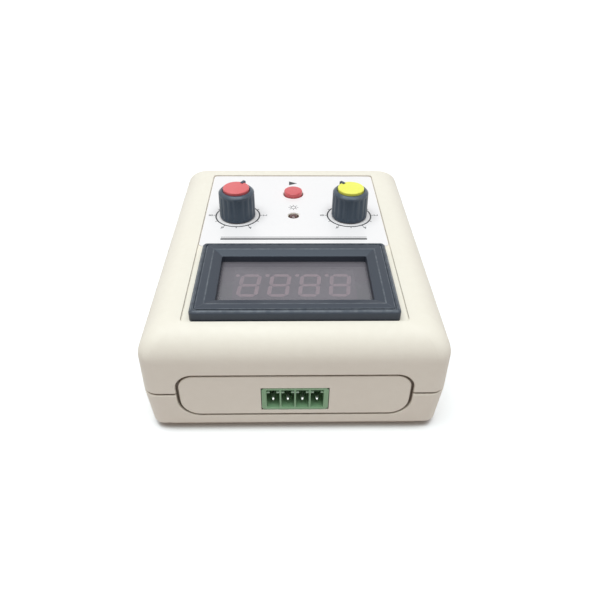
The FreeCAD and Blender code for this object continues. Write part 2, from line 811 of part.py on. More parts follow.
def make_meter_window():
    body = new_body("meter_window", y=METER_Y, z=PANEL_FLOOR)
    pane = sketch(body, "XY", WINDOW_BOTTOM)
    centred(pane, f"{METER_ROOM_X} - 2 * window_gap",
            "bezel_depth - 2 * bezel_border - 2 * facet_width + 2 * window_overlap")
    pad(body, pane, "window_thickness")


def make_meter_inside():
    block_z = f"{PANEL_FLOOR} + {METER_BOARD_TOP}"
    node("digit_block", block("0", METER_Y, block_z, "digit_block_length", "digit_block_width",
                              "digit_block_height"))
    board_z = f"{block_z} - meter_board_thickness"
    node("meter_board", block(
        "0", METER_Y, board_z,
        f"{METER_ROOM_X} - 2 * meter_board_gap", f"{METER_ROOM_Y} - 2 * meter_board_gap",
        "meter_board_thickness"))
    node("meter_plug", block("0", METER_PLUG_Y, METER_PLUG_BOTTOM,
                             "meter_plug_length", "meter_plug_width", "meter_plug_height"))
    node("board_socket", block("0", f"{FRONT} + board_socket_setback", BOARD_TOP,
                               "meter_plug_length", "meter_plug_width", "board_socket_height"))


def pointed_bar(start, end, half, gap):
    """The six corners of a bar with pointed ends."""
    along = (end - start).normalize()
    across = Vector(-along.y, along.x, 0) * half
    tip, shoulder = along * gap, along * (gap + half)
    return [start + tip, start + shoulder + across, end - shoulder + across,
            end - tip, end - shoulder - across, start + shoulder - across]


def make_digit_segments():
    """Seven bars and a point for each digit, leaning, on the face of the digit block."""
    span, side = value("digit_span"), value("digit_half_width")
    half, gap, thick = value("segment_width / 2"), value("segment_gap"), value("segment_thickness")
    lean = math.tan(math.radians(value("digit_slant")))
    ends = [((-side, y), (side, y)) for y in (-span, 0, span)]
    ends += [((x, y), (x, y + span)) for x in (-side, side) for y in (-span, 0)]
    solids = []
    for digit in range(DIGITS):
        middle = (digit - (DIGITS - 1) / 2) * value("digit_pitch")
        for start, end in ends:
            corners = pointed_bar(Vector(*start, 0), Vector(*end, 0), half, gap)
            corners = [Vector(middle + p.x + p.y * lean, p.y, 0) for p in corners]
            face = Part.Face(Part.makePolygon(corners + corners[:1]))
            solids.append(face.extrude(Vector(0, 0, thick)))
        point = Vector(middle - value("point_offset") + span * lean, span, 0)
        solids.append(Part.makeCylinder(value("point_radius"), thick, point))
    item = node("digit_segments", doc.addObject("Part::Feature", "Segments"))
    item.Shape = Part.makeCompound(solids)
    bind(item, x="0", y=METER_Y, z=f"{PANEL_FLOOR} + {DIGIT_TOP}")


def make_meter_wires():
    """Wires that drop from the meter's plug, run level and turn down into the board's socket."""
    y0, z0 = value(METER_PLUG_Y), value(METER_PLUG_BOTTOM)
    y1, z1 = value(f"{FRONT} + board_socket_setback"), value(f"{BOARD_TOP} + board_socket_height")
    level = (z0 + z1) / 2
    bend = min(value("wire_bend"), 0.9 * (z0 - level))
    slant = bend * math.sqrt(0.5)
    solids = []
    for i in range(METER_WIRES):
        x = (i - (METER_WIRES - 1) / 2) * value("wire_pitch")
        spots = [(y0, z0), (y0, level + bend), (y0 - bend + slant, level + bend - slant),
                 (y0 - bend, level), (y1 + bend, level), (y1 + bend - slant, level - bend + slant),
                 (y1, level - bend), (y1, z1)]
        p = [Vector(x, y, z) for y, z in spots]
        edges = [Part.LineSegment(p[0], p[1]), Part.Arc(p[1], p[2], p[3]),
                 Part.LineSegment(p[3], p[4]), Part.Arc(p[4], p[5], p[6]), Part.LineSegment(p[6], p[7])]
        path = Part.Wire([edge.toShape() for edge in edges])
        ring = Part.Wire(Part.makeCircle(value("wire_radius"), p[0], Vector(0, 0, 1)))
        solids.append(path.makePipeShell([ring], True, False))
    item = node("meter_wires", doc.addObject("Part::Feature", "Wires"))
    item.Shape = Part.makeCompound(solids)


# Terminal header.

def header_x(way):
    return f"({way - (HEADER_WAYS - 1) / 2} * header_pitch)"


def make_terminal_header():
    body = new_body("terminal_header")
    shell = sketch(body, "XZ", f"{HEADER_FRONT} + header_depth")
    rectangle(shell, f"-{HEADER_HALF}", HEADER_HALF, BOARD_TOP, f"{BOARD_TOP} + header_height")
    pad(body, shell, "header_depth")
    back = f"{HEADER_FRONT} + header_depth - header_back"
    cells = sketch(body, "XZ", HEADER_FRONT)
    pins = sketch(body, "XZ", HEADER_FRONT)
    keys = sketch(body, "XZ", back)
    half = "(header_pitch / 2 - header_wall / 2)"
    top = f"({BOARD_TOP} + header_height - header_lip)"
    for way in range(HEADER_WAYS):
        x = header_x(way)
        rectangle(cells, f"{x} - {half}", f"{x} + {half}", f"{BOARD_TOP} + header_lip", top)
        rectangle(pins, f"{x} - pin_size / 2", f"{x} + pin_size / 2",
                  f"{HEADER_Z} - pin_size / 2", f"{HEADER_Z} + pin_size / 2")
        for sign in ("-", "+"):
            rectangle(keys, f"{x} {sign} {half}", f"{x} {sign} ({half} - key_width)",
                      f"{top} - key_drop - key_height", f"{top} - key_drop")
    pocket(body, cells, "header_depth - header_back")
    pad(body, keys, "header_depth - header_back - key_setback")
    pocket(body, pins)


def make_terminal_pins():
    """Square pins that run level through the header and turn down through the board."""
    front = f"({HEADER_FRONT} + pin_setback)"
    back = f"({PIN_LEG_Y} + pin_size / 2)"
    tail = f"({BOARD_TOP} - board_thickness - pin_tail)"
    pins = []
    for way in range(HEADER_WAYS):
        level = block(header_x(way), f"({front} + {back}) / 2", f"{HEADER_Z} - pin_size / 2",
                      "pin_size", f"{back} - {front}", "pin_size")
        leg = block(header_x(way), PIN_LEG_Y, tail, "pin_size", "pin_size", f"{HEADER_Z} - {tail}")
        pins.append(fuse(level, leg))
    node("terminal_pins", group(*pins))


# Main board and its screws.

def at_board_screws(item, radius):
    for sx, sy in CORNERS:
        circle(item, f"{sx}{BOARD_SCREW_X}", f"{sy}{BOARD_SCREW_Y}", radius)


def jack_terminal_y(index):
    return f"({JACK_REAR} - jack_terminal_first - {index} * jack_terminal_pitch)"


def make_main_board():
    body = new_body("main_board", z=f"{BOARD_TOP} - board_thickness")
    plan = sketch(body, "XY", "0")
    rectangle(plan, f"-{BOARD_HALF_X}", BOARD_HALF_X, f"-{BOARD_HALF_Y}", BOARD_HALF_Y)
    at_board_screws(plan, "board_screw_radius + board_screw_gap")
    for way in range(HEADER_WAYS):
        circle(plan, header_x(way), PIN_LEG_Y, "pin_size * sqrt(0.5) + pin_hole_gap")
    for sign in ("-", ""):
        circle(plan, f"{sign}lead_spacing / 2", KNOB_Y, "lead_size * sqrt(0.5) + lead_hole_gap")
    for index in range(JACK_TERMINALS):
        circle(plan, "0", jack_terminal_y(index), "jack_terminal_size * sqrt(0.5) + pin_hole_gap")
    pad(body, plan, "board_thickness")


def make_board_screws():
    screws = []
    for sx, sy in CORNERS:
        place = (f"{sx}{BOARD_SCREW_X}", f"{sy}{BOARD_SCREW_Y}")
        head = rod(*place, BOARD_TOP, "board_head_radius", "board_head_height")
        shank = rod(*place, f"{BOARD_TOP} - board_thickness - board_screw_reach", "board_screw_radius",
                    "board_thickness + board_screw_reach")
        screws.append(fuse(head, shank))
    node("board_screws", group(*screws))


# Rotary controls and knobs.

def make_rotary_control(name, side):
    """Base, steel cover with its bush, and the shaft whose rotor turns in the cover."""
    x = f"{side}{KNOB_X}"
    cover_z = f"({BOARD_TOP} + pot_base_height)"
    node(name + "_pot_base", block(x, KNOB_Y, BOARD_TOP, "pot_width", "pot_depth", "pot_base_height"))
    can = block(x, KNOB_Y, cover_z, "pot_width", "pot_depth", "pot_cover_height")
    bush = rod(x, KNOB_Y, f"{cover_z} + pot_cover_height", "bush_radius", "bush_height")
    rotor_room = rod(x, KNOB_Y, cover_z, "rotor_radius + rotor_clearance",
                     "rotor_height + 2 * rotor_clearance")
    bore = rod(x, KNOB_Y, cover_z, "shaft_radius + shaft_clearance", "pot_cover_height + bush_height")
    node(name + "_pot_cover", cut(fuse(can, bush), fuse(rotor_room, bore)))
    rotor_z = f"({cover_z} + rotor_clearance)"
    rotor = rod(x, KNOB_Y, rotor_z, "rotor_radius", "rotor_height")
    stalk = rod(x, KNOB_Y, rotor_z, "shaft_radius", f"{KNOB_BOTTOM} + shaft_engagement - {rotor_z}")
    node(name + "_shaft", fuse(rotor, stalk))


def pointer_outline(item, start, end, width):
    rectangle(item, f"-({width}) / 2", f"({width}) / 2", start, end)


def make_knob(name, side, pointer):
    """A fluted knob with a seat for its cap and a raised pointer at the rim."""
    place = {"x": f"{side}{KNOB_X}", "y": KNOB_Y, "z": KNOB_BOTTOM}
    turn = -value(pointer)
    body = new_body(name + "_knob", turn=turn, **place)
    profile = sketch(body, "XZ", "0")
    polygon(profile, [("0", "0"), ("knob_base_radius", "0"),
                      ("knob_top_radius", "knob_height - knob_chamfer"),
                      ("knob_top_radius - knob_chamfer", "knob_height"), ("0", "knob_height")])
    revolve(body, profile)
    flute = sketch(body, "XY", "flute_bottom")
    circle(flute, "knob_base_radius + flute_radius - flute_depth", "0", "flute_radius")
    groove = pocket(body, flute, "knob_height - flute_bottom - flute_top", along=True)
    ring = body.newObject("PartDesign::PolarPattern", "Flutes")
    ring.Originals = [groove]
    ring.Axis = (flute, ["N_Axis"])
    ring.Angle = 360
    ring.Occurrences = FLUTES
    body.Tip = ring
    seat = sketch(body, "XY", "knob_height")
    circle(seat, "0", "0", "cap_radius + cap_gap")
    pocket(body, seat, "cap_seat")
    bore = sketch(body, "XY", "0")
    circle(bore, "0", "0", "shaft_radius + knob_bore_gap")
    pocket(body, bore, "shaft_engagement", along=True)
    rib = sketch(body, "XY", "knob_height - cap_seat")
    pointer_outline(rib, "pointer_start", "pointer_end", "pointer_width")
    pad(body, rib, "cap_seat + pointer_rise")
    cap = new_body(name + "_knob_cap", turn=turn, **place)
    disc = sketch(cap, "XY", "knob_height - cap_seat")
    circle(disc, "0", "0", "cap_radius")
    pad(cap, disc, "cap_seat + cap_proud")
    dress(cap, "Fillet", "cap_edge", at_height("knob_height + cap_proud"))
    notch = sketch(cap, "XY", "knob_height - cap_seat")
    pointer_outline(notch, "pointer_start - pointer_gap", "pointer_end", "pointer_width + 2 * pointer_gap")
    pocket(cap, notch, along=True)


# Start button, its switch and the indicator.

def make_start_button():
    body = new_body("start_button", y=BUTTON_Y, z=BUTTON_BOTTOM)
    plan = sketch(body, "XY", "0")
    circle(plan, "0", "0", "button_radius")
    pad(body, plan, "button_length")
    dress(body, "Fillet", "button_edge", at_height("button_length"))
    bore = sketch(body, "XY", "0")
    circle(bore, "0", "0", "stem_radius + stem_clearance")
    pocket(body, bore, "stem_engagement", along=True)


def make_switch():
    base_top = f"({BOARD_TOP} + switch_base_height)"
    well_floor = f"({base_top} - well_depth)"
    base = block("0", BUTTON_Y, BOARD_TOP, "switch_width", "switch_width", "switch_base_height")
    node("switch_base", cut(base, rod("0", BUTTON_Y, well_floor, "well_radius", "well_depth")))
    plate = block("0", BUTTON_Y, base_top, "switch_width", "switch_width", "switch_cover_thickness")
    hole = rod("0", BUTTON_Y, base_top, "stem_radius + stem_clearance", "switch_cover_thickness")
    node("switch_cover", cut(plate, hole))
    dome = new_body("switch_dome", y=BUTTON_Y, z=well_floor)
    profile = sketch(dome, "XZ", "0")
    polygon(profile, [("0", "0"), ("dome_radius", "0"), ("dome_radius / 2", "dome_height"),
                      ("0", "dome_height")])
    revolve(dome, profile)
    flange_z = f"({base_top} - plunger_flange_height - stem_clearance)"
    flange = rod("0", BUTTON_Y, flange_z, "plunger_flange_radius", "plunger_flange_height")
    stem = rod("0", BUTTON_Y, flange_z, "stem_radius", f"{BUTTON_BOTTOM} + stem_engagement - {flange_z}")
    node("switch_plunger", fuse(flange, stem))


def make_indicator():
    lens = rod("0", KNOB_Y, LED_BOTTOM, "led_radius", "led_height - led_radius")
    dome = doc.addObject("Part::Sphere", "Dome")
    bind(dome, Radius="led_radius", x="0", y=KNOB_Y, z=f"{LED_BOTTOM} + led_height - led_radius")
    flange = rod("0", KNOB_Y, LED_BOTTOM, "led_flange_radius", "led_flange_height")
    node("indicator_led", fuse(lens, dome, flange))
    tail = f"({BOARD_TOP} - board_thickness - lead_tail)"
    leads = [block(f"{sign}lead_spacing / 2", KNOB_Y, tail, "lead_size", "lead_size",
                   f"{LED_BOTTOM} - {tail}") for sign in ("-", "")]
    node("led_leads", group(*leads))


# Supply inlet.

def make_jack():
    middle = f"({JACK_REAR} - jack_length / 2)"
    body = block("0", middle, BOARD_TOP, "jack_width", "jack_length", "jack_height")
    bore = rod_along_y("0", JACK_REAR, JACK_AXIS_Z, "jack_bore_radius", "jack_bore_depth")
    node("jack_body", cut(body, bore))
    pin_end = f"{JACK_REAR} - jack_bore_depth + jack_pin_length"
    node("jack_pin", rod_along_y("0", pin_end, JACK_AXIS_Z, "jack_pin_radius", "jack_pin_length"))
    tail = f"({BOARD_TOP} - board_thickness - pin_tail)"
    node("jack_terminals", group(*[
        block("0", jack_terminal_y(index), tail, "jack_terminal_size", "jack_terminal_size",
              f"{BOARD_TOP} - {tail}") for index in range(JACK_TERMINALS)]))


# Converter and control circuit on the board.

def make_transformer():
    x, y = "transformer_x", f"({FRONT} + transformer_setback)"
    core_z = f"({BOARD_TOP} + bobbin_height)"
    inside_z, inside_height = f"({core_z} + core_yoke)", "core_height - 2 * core_yoke"
    node("transformer_bobbin", block(x, y, BOARD_TOP, "bobbin_size", "bobbin_size", "bobbin_height"))
    frame = block(x, y, core_z, "core_width", "core_depth", "core_height")
    reach = "(core_width / 2 - core_side - core_leg / 2)"
    windows = [block(f"({x} {sign} (core_leg / 2 + {reach} / 2))", y, inside_z, reach, "core_depth",
                     inside_height) for sign in ("-", "+")]
    node("transformer_core", cut(frame, *windows))
    hollow_x, hollow_y = "(core_leg + 2 * winding_gap)", "(core_depth + 2 * winding_gap)"
    turns = block(x, y, inside_z, f"{hollow_x} + 2 * winding_build", f"{hollow_y} + 2 * winding_build",
                  inside_height)
    node("transformer_winding", cut(turns, block(x, y, inside_z, hollow_x, hollow_y, inside_height)))


def softened(item, size, chosen):
    """Round the chosen edges of an object by one radius."""
    doc.recompute()
    radius = value(size)
    result = doc.addObject("Part::Fillet", "Softened")
    result.Base = item
    result.Edges = [(i, radius, radius) for i, edge in enumerate(item.Shape.Edges, 1) if chosen(edge)]
    return result


def make_board_parts():
    def can_top(edge):
        return all(v.Point.z > value(BOARD_TOP) + TINY for v in edge.Vertexes) and edge.Closed

    def upright(edge):
        return abs(edge.Vertexes[0].Point.z - edge.Vertexes[-1].Point.z) > TINY

    cans = [softened(rod(f"{sign}capacitor_x", f"{KNOB_Y} - capacitor_offset", BOARD_TOP,
                         "capacitor_radius", "capacitor_height"), "capacitor_edge", can_top)
            for sign in ("-", "")]
    node("smoothing_capacitors", group(*cans))
    coil = block("0", f"{FRONT} + inductor_setback", BOARD_TOP, "inductor_size", "inductor_size",
                 "inductor_height")
    node("power_inductor", softened(coil, "inductor_edge", upright))
    node("switching_transistor", block("transistor_x", f"{FRONT} + transistor_setback", BOARD_TOP,
                                       "transistor_width", "transistor_depth", "transistor_height"))
    node("rectifier_diodes", group(*[
        block(f"diode_x + {i} * diode_pitch", f"{FRONT} + diode_setback", BOARD_TOP,
              "diode_width", "diode_length", "diode_height") for i in range(DIODES)]))
    node("range_resistors", group(*[
        block(f"{sign}(resistor_x + {i} * resistor_pitch)", f"{REAR} - resistor_rear_margin", BOARD_TOP,
              "resistor_width", "resistor_length", "resistor_height")
        for sign in ("-", "") for i in range(RESISTORS_PER_SIDE)]))


def make_chip():
    y = f"({FRONT} + chip_setback)"
    node("control_chip", block("chip_x", y, BOARD_TOP, "chip_length", "chip_width", "chip_height"))
    leads = []
    for i in range(CHIP_LEADS_PER_SIDE):
        x = f"chip_x + {i - (CHIP_LEADS_PER_SIDE - 1) / 2} * chip_lead_pitch"
        for sign in ("-", "+"):
            leads.append(block(x, f"({y} {sign} (chip_width + chip_lead_reach) / 2)", BOARD_TOP,
                               "chip_lead_width", "chip_lead_reach", "chip_lead_height"))
    node("chip_leads", group(*leads))


def check_and_write():
    """Stop at any object that failed or any sub-part with no sound shape; then write every sub-part."""
    doc.recompute()
    for item in doc.Objects:
        if any(word in item.State for word in ("Invalid", "Error")):
            raise RuntimeError(f"{item.Label} failed: {item.State}")
    for label, item in nodes.items():
        if item.Shape.isNull() or not item.Shape.isValid() or not item.Shape.Solids:
            raise RuntimeError(f"{label} has no sound shape")
    os.makedirs("parts", exist_ok=True)
    for label, item in nodes.items():
        item.Shape.exportStep(f"parts/{label}.step")
        box = item.Shape.BoundBox
        print(f"{label}: {len(item.Shape.Solids)} solid, {item.Shape.Volume:.1f} mm3, "
              f"x {box.XMin:.2f} {box.XMax:.2f}, y {box.YMin:.2f} {box.YMax:.2f}, "
              f"z {box.ZMin:.2f} {box.ZMax:.2f}")


make_top_shell()
make_bottom_shell()
make_case_screws()
make_end_panels()
make_face_label()
make_meter_bezel()
make_meter_window()
make_meter_inside()
make_digit_segments()
make_meter_wires()
make_terminal_header()
make_terminal_pins()
make_main_board()
make_board_screws()
for control, hand in (("current", "-"), ("voltage", "")):
    make_rotary_control(control, hand)
    make_knob(control, hand, control + "_pointer")
make_start_button()
make_switch()
make_indicator()
make_jack()
make_transformer()
make_board_parts()
make_chip()
check_and_write()
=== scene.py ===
# Looks of the component tester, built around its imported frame. Sizes are in millimetres in the
# code and go into the meshes in metres.

import math

import bmesh
import bpy
from mathutils import Matrix, Vector


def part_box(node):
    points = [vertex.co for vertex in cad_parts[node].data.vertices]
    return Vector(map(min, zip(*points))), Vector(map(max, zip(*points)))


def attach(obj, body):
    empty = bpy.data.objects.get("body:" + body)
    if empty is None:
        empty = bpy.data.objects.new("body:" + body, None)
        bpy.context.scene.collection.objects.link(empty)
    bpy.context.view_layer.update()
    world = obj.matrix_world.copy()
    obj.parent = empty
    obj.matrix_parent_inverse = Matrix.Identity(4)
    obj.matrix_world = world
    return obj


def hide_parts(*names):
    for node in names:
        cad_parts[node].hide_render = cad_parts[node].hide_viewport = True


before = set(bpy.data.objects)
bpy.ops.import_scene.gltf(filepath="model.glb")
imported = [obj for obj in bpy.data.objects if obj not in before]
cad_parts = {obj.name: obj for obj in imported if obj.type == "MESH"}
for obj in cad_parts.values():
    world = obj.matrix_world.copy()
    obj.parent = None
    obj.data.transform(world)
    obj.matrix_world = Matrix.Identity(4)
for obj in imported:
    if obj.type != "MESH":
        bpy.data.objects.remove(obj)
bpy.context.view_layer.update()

MM = 0.001
scene = bpy.context.scene
RECESS_FLOOR, LABEL_TOP = (v.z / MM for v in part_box("face_label"))


# Meshes.

SQUARE = [(-1, -1), (1, -1), (1, 1), (-1, 1)]


def mesh_of(name, points, faces):
    """A mesh from points in millimetres, with its faces turned outward."""
    mesh = bpy.data.meshes.new(name)
    bm = bmesh.new()
    corners = [bm.verts.new(Vector(p) * MM) for p in points]
    for face in faces:
        bm.faces.new([corners[i] for i in face])
    bmesh.ops.recalc_face_normals(bm, faces=bm.faces)
    bm.to_mesh(mesh)
    bm.free()
    return mesh


def lathe(name, profile, steps=96):
    """A turned shape from (radius, height) pairs; a radius of 0 is a closed pole.

    A height may be a function of x and y, for a face that isn't level all round.
    """
    points, rows = [], []
    for radius, height in profile:
        count = steps if radius else 1
        rows.append([len(points) + i for i in range(count)])
        for i in range(count):
            a = 2 * math.pi * i / steps
            x, y = radius * math.cos(a), radius * math.sin(a)
            points.append((x, y, height(x, y) if callable(height) else height))
    faces = []
    for low, high in zip(rows, rows[1:]):
        for i in range(steps):
            face = [low[i % len(low)], low[(i + 1) % len(low)],
                    high[(i + 1) % len(high)], high[i % len(high)]]
            faces.append(list(dict.fromkeys(face)))
    return mesh_of(name, points, faces)


def rounded_loop(half_x, half_y, radius, z, y=0.0, steps=6):
    """Points round a rectangle with rounded corners, at one height."""
    points = []
    for k, (sx, sy) in enumerate([(1, 1), (-1, 1), (-1, -1), (1, -1)]):
        for i in range(steps + 1):
            a = math.pi / 2 * (k + i / steps)
            points.append((sx * (half_x - radius) + radius * math.cos(a),
                           y + sy * (half_y - radius) + radius * math.sin(a), z))
    return points


def bridged(ring, other):
    """The faces between two rings of equally many points."""
    count = len(ring)
    return [(ring[k], ring[(k + 1) % count], other[(k + 1) % count], other[k]) for k in range(count)]


def loft(name, loops, joined=False):
    """A closed skin over loops of equal length: capped at both ends, or the last joined to the first."""
    count = len(loops[0])
    points = [p for loop in loops for p in loop]
    rings = [range(i * count, (i + 1) * count) for i in range(len(loops))]
    faces = [] if joined else [tuple(rings[0]), tuple(rings[-1])]
    for ring, other in zip(rings, rings[1:] + (rings[:1] if joined else [])):
        faces += bridged(ring, other)
    return mesh_of(name, points, faces)


def plate(name, outline, low, high):
    """A flat outline raised from one height to another."""
    return loft(name, [[(x, y, z) for x, y in outline] for z in (low, high)])


def gathered(name, meshes):
    """One mesh from several."""
    bm = bmesh.new()
    for mesh in meshes:
        bm.from_mesh(mesh)
    result = bpy.data.meshes.new(name)
    bm.to_mesh(result)
    bm.free()
    return result


def moved(mesh, x=0.0, y=0.0, z=0.0, turn=0.0):
    """The mesh turned about its own upright axis, then put in place."""
    place = Matrix.Translation(Vector((x, y, z)) * MM) @ Matrix.Rotation(math.radians(turn), 4, "Z")
    mesh.transform(place)
    return mesh


def evaluated(host):
    """The plain mesh of a working object, with its modifiers worked out; the object is removed."""
    bpy.context.view_layer.update()
    mesh = bpy.data.meshes.new_from_object(host.evaluated_get(bpy.context.evaluated_depsgraph_get()))
    host.modifiers.clear()
    bpy.data.objects.remove(host)
    return mesh


def host_of(mesh):
    """A working object for modifiers."""
    host = bpy.data.objects.new(mesh.name + "_work", mesh)
    scene.collection.objects.link(host)
    return host


def smoothed(mesh, sharp=40.0):
    """Smooth shading, with flats kept flat by normals weighted by area."""
    mesh.shade_smooth()
    mesh.set_sharp_from_angle(angle=math.radians(sharp))
    host = host_of(mesh)
    weigh = host.modifiers.new("even_flats", "WEIGHTED_NORMAL")
    weigh.keep_sharp = True
    return evaluated(host)


def eased(mesh, width, sharp=30.0):
    """The mesh with its hard edges rounded over."""
    host = host_of(mesh)
    ease = host.modifiers.new("eased_edges", "BEVEL")
    ease.width, ease.segments = width * MM, 3
    ease.limit_method, ease.angle_limit = "ANGLE", math.radians(sharp)
    return smoothed(evaluated(host))


# Geometry Nodes trees for what repeats.

WELD_DISTANCE = 0.001


def copies_tree(name, extra):
    """A tree with its named inputs, and the nodes that every tree ends in."""
    tree = bpy.data.node_groups.new(name, "GeometryNodeTree")
    sockets = [("Piece", "NodeSocketObject"), ("Finish", "NodeSocketMaterial"), *extra]
    for label, kind in sockets:
        tree.interface.new_socket(label, in_out="INPUT", socket_type=kind)
    tree.interface.new_socket("Geometry", in_out="OUTPUT", socket_type="NodeSocketGeometry")
    start, end = tree.nodes.new("NodeGroupInput"), tree.nodes.new("NodeGroupOutput")
    piece = tree.nodes.new("GeometryNodeObjectInfo")
    copies = tree.nodes.new("GeometryNodeInstanceOnPoints")
    real = tree.nodes.new("GeometryNodeRealizeInstances")
    weld = tree.nodes.new("GeometryNodeMergeByDistance")
    coat = tree.nodes.new("GeometryNodeSetMaterial")
    weld.inputs["Distance"].default_value = WELD_DISTANCE * MM
    for source, target in [(start.outputs["Piece"], piece.inputs["Object"]),
                           (piece.outputs["Geometry"], copies.inputs["Instance"]),
                           (copies.outputs["Instances"], real.inputs["Geometry"]),
                           (real.outputs["Geometry"], weld.inputs["Geometry"]),
                           (weld.outputs["Geometry"], coat.inputs["Geometry"]),
                           (start.outputs["Finish"], coat.inputs["Material"]),
                           (coat.outputs["Geometry"], end.inputs["Geometry"])]:
        tree.links.new(source, target)
    return tree, start, copies


def ring_tree():
    """Copies of a piece turned step by step about the upright axis."""
    tree, start, copies = copies_tree("ring_of_copies", [
        ("Count", "NodeSocketInt"), ("First Turn", "NodeSocketFloat"),
        ("Turn Step", "NodeSocketFloat")])
    points = tree.nodes.new("GeometryNodePoints")
    index = tree.nodes.new("GeometryNodeInputIndex")
    angle = tree.nodes.new("ShaderNodeMath")
    angle.operation = "MULTIPLY_ADD"
    turn = tree.nodes.new("ShaderNodeCombineXYZ")
    for source, target in [(start.outputs["Count"], points.inputs["Count"]),
                           (points.outputs["Points"], copies.inputs["Points"]),
                           (index.outputs["Index"], angle.inputs[0]),
                           (start.outputs["Turn Step"], angle.inputs[1]),
                           (start.outputs["First Turn"], angle.inputs[2]),
                           (angle.outputs[0], turn.inputs["Z"]),
                           (turn.outputs[0], copies.inputs["Rotation"])]:
        tree.links.new(source, target)
    return tree


def row_tree():
    """Copies of a piece in a row along X, centred."""
    tree, start, copies = copies_tree("row_of_copies", [
        ("Count", "NodeSocketInt"), ("Pitch", "NodeSocketFloat")])
    line = tree.nodes.new("GeometryNodeMeshLine")
    gaps = tree.nodes.new("ShaderNodeMath")
    gaps.operation = "SUBTRACT"
    gaps.inputs[1].default_value = 1
    first = tree.nodes.new("ShaderNodeMath")
    first.operation = "MULTIPLY"
    half = tree.nodes.new("ShaderNodeMath")
    half.operation = "MULTIPLY"
    half.inputs[1].default_value = -0.5
    begin, step = tree.nodes.new("ShaderNodeCombineXYZ"), tree.nodes.new("ShaderNodeCombineXYZ")
    for source, target in [(start.outputs["Count"], line.inputs["Count"]),
                           (start.outputs["Count"], gaps.inputs[0]),
                           (gaps.outputs[0], first.inputs[0]),
                           (start.outputs["Pitch"], first.inputs[1]),
                           (first.outputs[0], half.inputs[0]),
                           (half.outputs[0], begin.inputs["X"]),
                           (start.outputs["Pitch"], step.inputs["X"]),
                           (begin.outputs[0], line.inputs["Start Location"]),
                           (step.outputs[0], line.inputs["Offset"]),
                           (line.outputs["Mesh"], copies.inputs["Points"])]:
        tree.links.new(source, target)
    return tree


def corner_tree():
    """Copies of a piece at the four corners of a rectangle."""
    tree, start, copies = copies_tree("corner_copies", [
        ("Width", "NodeSocketFloat"), ("Depth", "NodeSocketFloat")])
    grid = tree.nodes.new("GeometryNodeMeshGrid")
    grid.inputs["Vertices X"].default_value = 2
    grid.inputs["Vertices Y"].default_value = 2
    for source, target in [(start.outputs["Width"], grid.inputs["Size X"]),
                           (start.outputs["Depth"], grid.inputs["Size Y"]),
                           (grid.outputs["Mesh"], copies.inputs["Points"])]:
        tree.links.new(source, target)
    return tree


def repeated(name, tree, single, material, **inputs):
    """The plain mesh that a tree makes of one piece."""
    template = host_of(single)
    host = host_of(bpy.data.meshes.new(name))
    grow = host.modifiers.new("copies", "NODES")
    grow.node_group = tree
    values = {"Piece": template, "Finish": material}
    values.update({key.replace("_", " "): value for key, value in inputs.items()})
    for item in tree.interface.items_tree:
        if item.in_out == "INPUT":
            grow[item.identifier] = values[item.name]
    mesh = evaluated(host)
    bpy.data.objects.remove(template)
    return mesh


# Shader node groups.

def feed(tree, socket, value):
    """Feed a socket by link from another socket, or by a plain value."""
    if isinstance(value, bpy.types.NodeSocket):
        tree.links.new(value, socket)
    else:
        socket.default_value = value


def add(tree, kind, options=None, **inputs):
    """A node with its options set and its sockets fed by value or by link."""
    item = tree.nodes.new(kind)
    for key, value in (options or {}).items():
        setattr(item, key, value)
    for key, value in inputs.items():
        feed(tree, item.inputs[key.replace("_", " ")], value)
    return item


def maths(tree, operation, a, b):
    """The result of one sum on two values."""
    item = add(tree, "ShaderNodeMath", {"operation": operation})
    feed(tree, item.inputs[0], a)
    feed(tree, item.inputs[1], b)
    return item.outputs[0]


def spread(tree, value, low, high, to_low, to_high):
    """A value taken from one range to another, held at the ends."""
    item = add(tree, "ShaderNodeMapRange", Value=value, From_Min=low, From_Max=high,
               To_Min=to_low, To_Max=to_high)
    return item.outputs["Result"]


def mixed(tree, share, a, b):
    """A colour between two, by a share from 0 to 1."""
    item = tree.nodes.new("ShaderNodeMix")
    item.data_type = "RGBA"
    sockets = {s.identifier: s for s in item.inputs}
    feed(tree, sockets["Factor_Float"], share)
    feed(tree, sockets["A_Color"], a)
    feed(tree, sockets["B_Color"], b)
    return next(s for s in item.outputs if s.identifier == "Result_Color")


def group_of(name, inputs, outputs):
    """An empty shader node group with its named sockets, and its input and output nodes."""
    tree = bpy.data.node_groups.new(name, "ShaderNodeTree")
    for label, kind in inputs:
        tree.interface.new_socket(label, in_out="INPUT", socket_type=kind)
    for label, kind in outputs:
        tree.interface.new_socket(label, in_out="OUTPUT", socket_type=kind)
    return tree, tree.nodes.new("NodeGroupInput"), tree.nodes.new("NodeGroupOutput")


NUMBER, COLOUR = "NodeSocketFloat", "NodeSocketColor"


def grain_group():
    """Spark-eroded mould texture: soft pebbles broken up by noise."""
    tree, start, end = group_of("moulded_grain", [("Scale", NUMBER)], [("Height", NUMBER)])
    here = add(tree, "ShaderNodeTexCoord").outputs["Object"]
    scale = start.outputs["Scale"]
    finer, pebble_share, fuzz_share = 1.7, 0.6, 0.4
    pebbles = add(tree, "ShaderNodeTexVoronoi", {"feature": "SMOOTH_F1"}, Vector=here, Scale=scale)
    fuzz = add(tree, "ShaderNodeTexNoise", Vector=here, Scale=maths(tree, "MULTIPLY", scale, finer),
               Detail=2.0)
    height = maths(tree, "ADD", maths(tree, "MULTIPLY", pebbles.outputs["Distance"], pebble_share),
                   maths(tree, "MULTIPLY", fuzz.outputs["Fac"], fuzz_share))
    feed(tree, end.inputs["Height"], height)
    return tree


